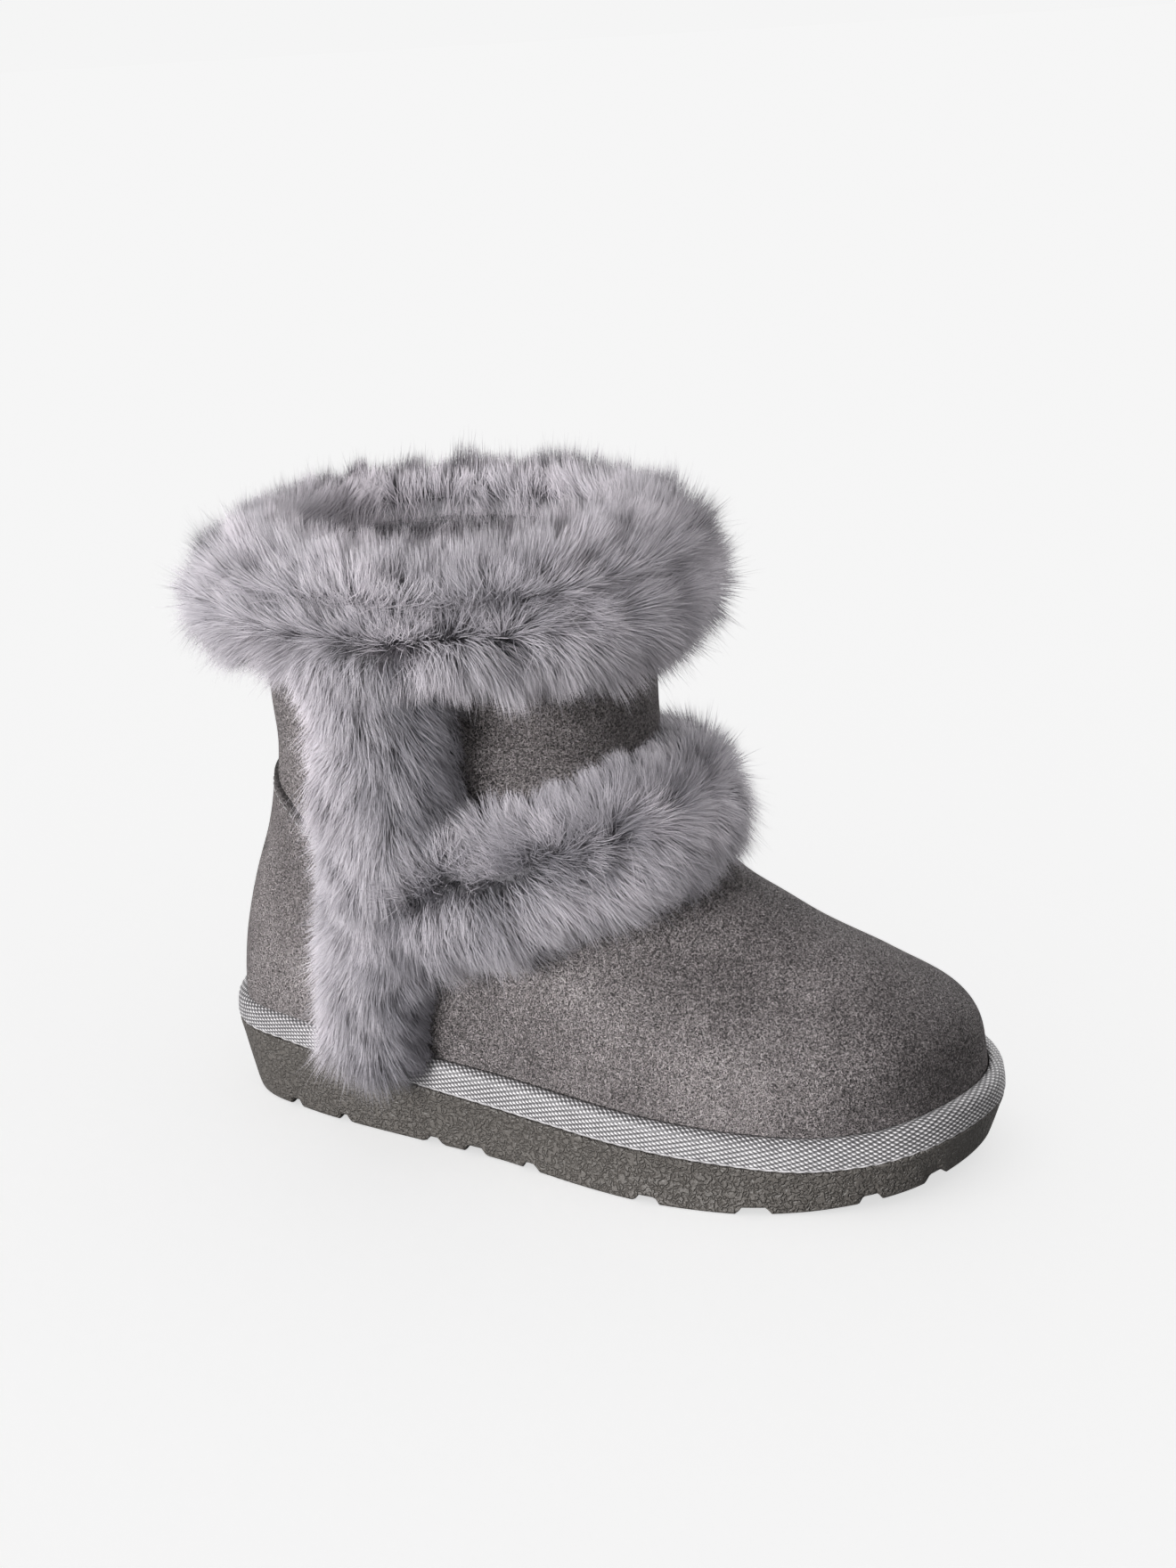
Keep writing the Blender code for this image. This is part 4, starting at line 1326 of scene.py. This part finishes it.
def scatterRoots(rng, grid, closed, span, count):
    # places a and b spread evenly over the grid's own area: each try is kept by the size of its cell
    tries = 4 * count
    a, b = rng.uniform(0.0, 1.0, tries), rng.uniform(span[0], span[1], tries)
    cells = np.cross(np.gradient(grid, axis=0), np.gradient(grid, axis=1))
    chance = readGrid(np.linalg.norm(cells, axis=-1)[..., None], a, b, closed)[:, 0]
    keep = rng.uniform(0.0, 1.0, tries) ** (1.0 / np.maximum(chance, chance.max() * 1e-3))
    kept = np.argsort(keep)[-count:]
    return a[kept], b[kept]


def lockPlaces(rng, a, b, size, closed, cell):
    # the nearest of a scatter of lock centres, one in each cell of a jittered grid
    rows, columns = max(int(size[0] / cell), 3), max(int(size[1] / cell), 2)
    jitter = rng.uniform(0.1, 0.9, (rows, columns, 2))
    i, j = np.floor(a * rows).astype(int), np.floor(b * columns).astype(int)
    best = np.full(len(a), np.inf)
    found = np.zeros((len(a), 3))
    for di in (-1, 0, 1):
        for dj in (-1, 0, 1):
            ii, jj = i + di, np.clip(j + dj, 0, columns - 1)
            wrapped = ii % rows if closed else np.clip(ii, 0, rows - 1)
            offset = jitter[wrapped, jj]
            ca = ((ii if closed else wrapped) + offset[:, 0]) / rows
            cb = (jj + offset[:, 1]) / columns
            apart = ((a - ca) * size[0]) ** 2 + ((b - cb) * size[1]) ** 2
            nearer = apart < best
            best = np.where(nearer, apart, best)
            found[nearer] = np.stack([ca, cb, wrapped * columns + jj], -1)[nearer]
    return found[:, 0], found[:, 1], found[:, 2].astype(int)


def hairMap(rng, look, a, b, closed, lock, lockTone):
    # across: the hair's shade, its lock's and its own, with a slow drift along the piece, tone by place
    # (painted light and shade on the strip and inside the cuff) and painted shade down in the parting; up:
    # the way from root to tip
    tone = 0.5 + look["lockTone"] * lockTone + rng.normal(0.0, look["toneSpread"], len(a))
    tone += look["driftTone"] * softNoise(rng, look["swirlRows"], 6, a, b, closed) + look["bias"](a, b)
    deep = rng.uniform(*look["dips"], lock.max() + 1)[lock]
    tone -= look["dip"] * bell(b, look["parting"], look["partingShadeWidth"]) * deep
    tone = np.clip(tone, 0.02, 0.97)[:, None]
    u = np.concatenate([tone, tone + 0.012] * 2 + [tone + 0.006], axis=1)
    v = np.array([0.01, 0.01, 0.5, 0.5, 0.99])[None, :] + 0.0 * u
    return np.stack([u, v], -1)


def coatAlong(path, directions, size, a, b, closed):
    # the coat's outward direction over the places that each hair passes, one for each corner of its blade
    ahead, aside, normal = directions
    over = []
    for step in (0, 1, 2):
        moved = path[:, step] - path[:, 0]
        onA = a + np.sum(moved * readGrid(ahead, a, b, closed), axis=1) / size[0]
        onB = b + np.sum(moved * readGrid(aside, a, b, closed), axis=1) / size[1]
        over.append(readGrid(normal, onA, onB, closed))
    return np.stack([over[step] for step in (0, 0, 1, 1, 2)], axis=1)


def growHairs(name, grid, closed, span, look, comb, seed):
    # grid is the dense face; hairs start under it and end just over it, each a blade of three triangles
    rng = np.random.default_rng(seed)
    ahead, aside, normal = gridNormals(grid, closed)
    roots = look["roots"] if "roots" in look else grid - normal * look["inset"]
    grids = (roots, ahead, aside, normal)
    size = [np.linalg.norm(np.diff(grid, axis=way), axis=-1).sum(axis=way).mean() for way in (0, 1)]
    count = look["count"]
    a, b = scatterRoots(rng, grid, closed, span, count)
    ca, cb, lock = lockPlaces(rng, a, b, size, closed, look["lock"])
    cb = np.clip(cb, span[0], span[1])
    locks = lock.max() + 1
    lockLength = rng.uniform(*look["lockLengths"], locks)[lock]
    lockTurn = rng.normal(0.0, look["lockTurn"], locks)[lock]
    lockTone = rng.normal(0.0, 1.0, locks)[lock]

    def pathAt(pa, pb, length, turn, stand):
        # the same drifts for every piece of one trim, so that neighbouring pieces flow on
        root, *directions = [readGrid(table, pa, pb, closed) for table in grids]
        rows, seeds = look["swirlRows"], (look["flowSeed"], look["flowSeed"] + 1)
        drift = softNoise(np.random.default_rng(seeds[0]), rows, 5, pa, pb, closed)
        shift = softNoise(np.random.default_rng(seeds[1]), 2 * rows, 4, pa, pb, closed)
        way, lean, share = comb(pa, pb + look["partShift"] * shift, *directions)
        out = directions[-1]
        turn = turn + look["swirl"] * drift
        return hairPaths(root, out, way, length * share, lean * stand, turn, look["droop"]), out

    wander = rng.normal(0.0, look["spread"], count)
    length = look["length"] * lockLength * rng.uniform(*look["lengths"], count)
    # a few guard hairs are longer and finer than the rest, and stand away from their lock
    guard = rng.uniform(0.0, 1.0, count) < look["guards"]
    length = length * np.where(guard, look["guardLength"], 1.0)
    wild = 1.0 + look["wild"] * bell(b, look["parting"], look["wildWidth"])
    own, normals = pathAt(a, b, length, lockTurn + wander * wild, rng.uniform(*look["stands"], count))
    centre, _ = pathAt(ca, cb, look["length"] * lockLength, lockTurn, 1.0)
    pull = np.where(guard, look["guardPull"], rng.uniform(*look["pull"], count))[:, None, None]
    path = own + (centre - own) * (pull * np.array([0.0, 0.35, 1.0])[None, :, None])
    path += rng.normal(0.0, look["frizz"], path.shape) * np.array([0.0, 0.6, 1.3])[None, :, None]
    tangent = unit(path[:, 2] - path[:, 0])
    roll = rng.normal(0.0, look["roll"], count)[:, None]
    flat = unit(np.cross(tangent, normals))
    side = flat * np.cos(roll) + np.cross(tangent, flat) * np.sin(roll)
    width = look["width"] * rng.uniform(*look["widths"], count) * np.where(guard, look["guardWidth"], 1.0)
    half = side * width[:, None] / 2
    low, middle, tip = path[:, 0], path[:, 1], path[:, 2]
    waist = half * 0.85
    points = np.stack([low - half, low + half, middle - waist, middle + waist, tip], axis=1)
    first = np.arange(count)[:, None] * 5
    quads, tris = first + np.array([(0, 1, 3, 2)]), first + np.array([(2, 3, 4)])
    uv = hairMap(rng, look, a, b, closed, lock, lockTone)
    # light falls on a hair partly as on the coat around it
    coat = coatAlong(path, (ahead, aside, normal), size, a, b, closed)
    blade = unit(np.cross(side, tangent))[:, None, :]
    facing = unit(coat * look["soft"] + blade * (1 - look["soft"])).reshape(-1, 3)
    return makePiece(name, points, quads, hairs, (), tris=tris, uv=uv, uvName="OFBake", normals=facing)


def combMap(grid):
    # a map in metres: the way along the piece, and the way across it
    ahead = np.linalg.norm(np.diff(grid, axis=0), axis=-1).mean(axis=1)
    across = np.linalg.norm(np.diff(grid, axis=1), axis=-1).mean(axis=0)
    u = np.concatenate([[0.0], np.cumsum(ahead)])[:, None]
    v = np.concatenate([[0.0], np.cumsum(across)])[None, :]
    return np.stack(np.broadcast_arrays(u, v), -1)


def undercoatRing(name, grid, inset, closing, stands):
    # the cuff's wool: the dense face moved in, closed along the shaft by plain rows
    _, _, normal = gridNormals(grid, True)
    face = (grid - normal * inset)[::2, ::2]
    around = roundPlaces(len(face))
    rows = [upperPoint(level, around) + levelNormal(level, around) * out for level, out in closing]
    points = np.concatenate([face, np.stack(rows, axis=1)], axis=1)
    uv = combMap(points).transpose(1, 0, 2)
    points = points.transpose(1, 0, 2)
    quads = gridFaces(points.shape[0], points.shape[1], True, True)
    return makePiece(name, points, quads, undercoat, stands, uv=uv, uvName="combMap")


def movedIn(dense, face, normal, inset, least):
    # the dense face moved in towards the suede, but never nearer than the least
    height = np.einsum("ijk,ijk->ij", dense - face, normal)
    return face + normal * np.maximum(height - inset, least)[..., None]


def undercoatPad(name, dense, face, normal, inset, stands):
    # a strip's or band's wool: a closed pad between the suede and the dense face moved in
    dense, face, normal = dense[::2, ::2], face[::2, ::2], normal[::2, ::2]
    front = movedIn(dense, face, normal, inset, 0.0009)
    back = face + normal * 0.0004
    points = np.stack([front, back])
    uv = np.stack([combMap(front)] * 2)
    faces = padFaces(*front.shape[:2])
    return makePiece(name, points, faces, undercoat, stands, uv=uv, uvName="combMap")


cuffLook = {
    "wool": 0.0056,  # how deep the undercoat lies under the dense face
    "inset": 0.0066,  # how deep the hairs start under it
    "count": 58000,
    "length": 0.0142,
    "width": 0.00018,
    "lengths": (0.72, 1.12),  # least and most of one hair's share of the length, and of the width below
    "widths": (0.7, 1.25),
    "lock": 0.0050,  # how far apart the locks are
    "lockLengths": (0.80, 1.18),
    "lockTurn": 0.24,
    "lockTone": 0.075,
    "pull": (0.06, 0.52),  # least and most that a hair is drawn to its lock
    "stands": (0.62, 1.25),  # least and most of a hair's share of the lean
    "spread": 0.29,
    "wild": 1.7,  # how much more they spread at the parting
    "wildWidth": 0.17,
    "guards": 0.10,
    "guardLength": 1.22,
    "guardWidth": 0.7,
    "guardPull": 0.1,
    "flowSeed": 7,
    "swirl": 0.50,
    "swirlRows": 26,
    "parting": 0.37,
    "partShift": 0.10,
    "frizz": 0.00022,
    "droop": 0.04,
    "roll": 0.38,
    "soft": 0.56,  # how much of its light a hair takes from the coat
    "toneSpread": 0.115,
    "driftTone": 0.16,
    "dip": 0.08,  # painted shade: how dark the hairs are down in the parting
    "dips": (0.3, 1.6),
    "partingShadeWidth": 0.12,
    # tone added by place: painted light and shade on the strip and inside the cuff
    "bias": lambda a, b: 0.0,
}
upwards = np.array((0.0, 0.0, 1.0))


def cuffComb(a, b, ahead, aside, normal):
    # down below the parting and up above it, leaning away from the outer side's middle
    partAround, partings = (0.0, 2.0, 3.4, 5.0, 7.0, 10.0, 14.0), (0.33, 0.30, 0.24, 0.34, 0.38, 0.36, 0.33)
    around = np.mod(a, 1.0) * lastShape["endAround"]
    rise = np.clip((b - np.interp(around, partAround, partings)) / 0.21, -1.0, 1.0)
    along = 0.50 * np.sin((a * lastShape["endAround"] - 3.6) / lastShape["endAround"] * 2 * np.pi)
    way = unit(upwards * rise[:, None] + ahead * along[:, None])
    lengthPlaces = (0.0, 0.08, 0.22, 0.34, 0.46, 0.60, 0.74, 1.0)
    share = np.interp(b, lengthPlaces, (0.52, 0.74, 0.98, 0.90, 0.94, 0.76, 0.74, 0.85))
    return way, 0.42 + 0.56 * np.abs(rise), share


cuffDense = cuffGrid()
undercoatRing("cuffUndercoat", cuffDense, cuffLook["wool"], cuffShape["closing"], ("fur_collar",))
# painted light: the hairs inside the cuff are paler, where the rim's top catches the light
insideLook = dict(cuffLook, count=28000, bias=lambda a, b: 0.14)
growHairs("cuffHairsLower", cuffDense, True, (0.0, 0.36), cuffLook, cuffComb, 21)
growHairs("cuffHairsUpper", cuffDense, True, (0.36, 0.66), cuffLook, cuffComb, 22)
growHairs("cuffHairsInside", cuffDense, True, (0.66, 1.0), insideLook, cuffComb, 23)


def stripPaintedLight(a, b):
    # painted light and shade: paler towards the back edge, which faces the light, darker towards the front
    # edge, on the flank turned from it, and darker above the band
    across = np.interp(b, (0.0, 0.18, 0.40, 0.60, 0.80, 1.0), (0.22, 0.10, -0.06, -0.28, -0.46, -0.48))
    return across - 0.06 * (a > 0.52)


def stripComb(a, b, ahead, aside, normal):
    # down, and outwards from a line nearer the back edge
    across = np.interp(b, (0.0, 0.30, 0.75, 1.0), (-0.62, 0.0, 0.62, 0.45))
    way = unit(ahead * 0.85 + aside * across[:, None])
    share = np.interp(b, (0.0, 0.25, 0.75, 1.0), (0.66, 1.0, 0.86, 0.46))
    share *= np.interp(a, (0.0, 0.06, 0.88, 1.0), (0.75, 1.0, 1.0, 1.15))
    return way, 0.80 + 0.22 * np.clip(np.abs(across), 0.0, 1.0), share


def bandComb(a, b, ahead, aside, normal):
    # down below the parting and up above it
    rise = np.clip((b - 0.62) / 0.18, -1.0, 1.0)
    way = unit(aside * rise[:, None] + ahead * 0.16)
    share = np.interp(b, (0.0, 0.30, 0.62, 0.80, 1.0), (0.72, 1.0, 0.82, 0.82, 0.50))
    return way, 0.46 + 0.52 * np.abs(rise), share


stripLook = dict(cuffLook, count=38000, wool=0.0048, inset=0.0056, length=0.0134, flowSeed=17, swirlRows=9)
stripLook.update(swirl=0.40, droop=0.08, parting=0.30, wild=0.6, dip=0.06, bias=stripPaintedLight)
bandLook = dict(cuffLook, count=42000, wool=0.0050, inset=0.0058, length=0.0140, flowSeed=27, swirlRows=12)
bandLook.update(swirl=0.40, droop=0.06, parting=0.62, partShift=0.12, dip=0.28, bias=lambda a, b: -0.05)


def makeTrim(name, stands, grids, look, comb, seed, turned=False):
    # a strip's or band's wool and hairs; turned, its hairs are combed from its far end
    dense, face, normal = grids
    step = -1 if turned else 1
    roots = movedIn(dense, face, normal, look["inset"], 0.0007)[::step]
    undercoatPad(name + "Undercoat", dense, face, normal, look["wool"], stands)
    growHairs(name + "Hairs", dense[::step], False, (0.0, 1.0), dict(look, roots=roots), comb, seed)


makeTrim("strip", ("fur_side_strip",), stripGrid(), stripLook, stripComb, 31, turned=True)
makeTrim("band", ("fur_instep_band",), bandGrid(), bandLook, bandComb, 41)
print("fur grown")

# A plain pale room: floor, world, suns and camera.
studio = {
    "sky": 0.32,  # how much it lights
    "seen": 0.913,  # how bright it looks
    "floorTone": 0.86,
    "floorGlow": 0.01,
    "floorSeen": 0.645,
    "floorHalf": 30.0,
}
suns = [
    # name, azimuth and elevation, strength, softness in degrees, whether it lights the fur only
    ("keyLight", -113, 15, 5.5, 26, False),
    ("sideFill", 80, 25, 2.6, 80, False),
    ("furFill", -20, 16, 1.8, 90, True),  # pile scatters light round to its far side
]
shot = {
    "azimuth": -65.354,
    "elevation": 19.886,
    "roll": -3.599,
    "target": (0.083623, 0.036927, 0.053535),
    "distance": 0.59988,
    "lens": 48.407,
    "sensor": 36.0,
}


def seenAs(tree, given, seen):
    # one number for the light that is given off, another for how bright it looks
    rays = tree.nodes.new("ShaderNodeLightPath")
    mix = tree.nodes.new("ShaderNodeMix")
    feed(tree, mix, (0, 2, 3), (rays.outputs["Is Camera Ray"], given, seen))
    return mix.outputs[0]


def makeFloor():
    # a wide square that the boot stands on
    half = studio["floorHalf"]
    corners = [(-half, -half, 0), (half, -half, 0), (half, half, 0), (-half, half, 0)]
    mesh = bpy.data.meshes.new("studioFloor")
    mesh.from_pydata(corners, [], [(0, 1, 2, 3)])
    floor = bpy.data.objects.new("studioFloor", mesh)
    bpy.context.scene.collection.objects.link(floor)
    material, tree, shader = startMaterial("paleFloor", 0.9, specular=0.0)
    shader.inputs["Base Color"].default_value = (*[studio["floorTone"]] * 3, 1.0)
    shader.inputs["Emission Color"].default_value = (1.0, 1.0, 1.0, 1.0)
    glow = seenAs(tree, studio["floorGlow"], studio["floorSeen"])
    tree.links.new(glow, shader.inputs["Emission Strength"])
    mesh.materials.append(material)


def makeWorld():
    # an even pale room, seen a little brighter than it lights
    world = bpy.data.worlds.new("studioRoom")
    bpy.context.scene.world = world
    world.use_nodes = True
    tree = world.node_tree
    back = tree.nodes["Background"]
    tree.links.new(seenAs(tree, studio["sky"], studio["seen"]), back.inputs["Strength"])
    back.inputs["Color"].default_value = (1.0, 1.0, 1.0, 1.0)


def direction(azimuth, elevation):
    # towards a place round the boot: azimuth 0 is in front of the toe, and 90 is on the inner side
    turn, rise = np.radians(azimuth), np.radians(elevation)
    return np.array((np.sin(turn) * np.cos(rise), -np.cos(turn) * np.cos(rise), np.sin(rise)))


def addSun(name, azimuth, elevation, strength, softness, furOnly):
    # a sun that models the boot, or its fur, only; the floor is lit by the room
    lamp = bpy.data.lights.new(name, "SUN")
    lamp.energy = strength
    lamp.angle = np.radians(softness)
    sun = bpy.data.objects.new(name, lamp)
    sun.rotation_mode = "QUATERNION"
    sun.rotation_quaternion = Vector(direction(azimuth, elevation)).to_track_quat("Z", "Y")
    bpy.context.scene.collection.objects.link(sun)
    lit = bpy.data.collections.new(name + "Receivers")
    for piece in bpy.data.objects:
        fur = "Hairs" in piece.name or "Undercoat" in piece.name
        if piece.type == "MESH" and piece.name != "studioFloor" and (fur or not furOnly):
            lit.objects.link(piece)
    sun.light_linking.receiver_collection = lit


def makeCamera():
    # the camera looks back along its direction from the target, rolled about that line
    back = direction(shot["azimuth"], shot["elevation"])
    roll = np.radians(shot["roll"])
    right = unit(np.cross((0.0, 0.0, 1.0), back))
    up = np.cross(back, right)
    rolledRight = np.cos(roll) * right + np.sin(roll) * up
    rolledUp = -np.sin(roll) * right + np.cos(roll) * up
    lens = bpy.data.cameras.new("studioCamera")
    lens.lens = shot["lens"]
    lens.sensor_width = shot["sensor"]
    lens.clip_start, lens.clip_end = 0.01, 100.0
    camera = bpy.data.objects.new("studioCamera", lens)
    place = np.array(shot["target"]) + back * shot["distance"] + lastShift
    columns = np.stack([rolledRight, rolledUp, back, place], axis=1)
    camera.matrix_world = Matrix([*columns.tolist(), (0, 0, 0, 1)])
    bpy.context.scene.collection.objects.link(camera)
    bpy.context.scene.camera = camera


makeFloor()
makeWorld()
for sunRow in suns:
    addSun(*sunRow)
makeCamera()
bpy.context.scene.view_settings.view_transform = "Standard"
bpy.context.scene.view_settings.look = "None"
print("floor, lights and camera set")
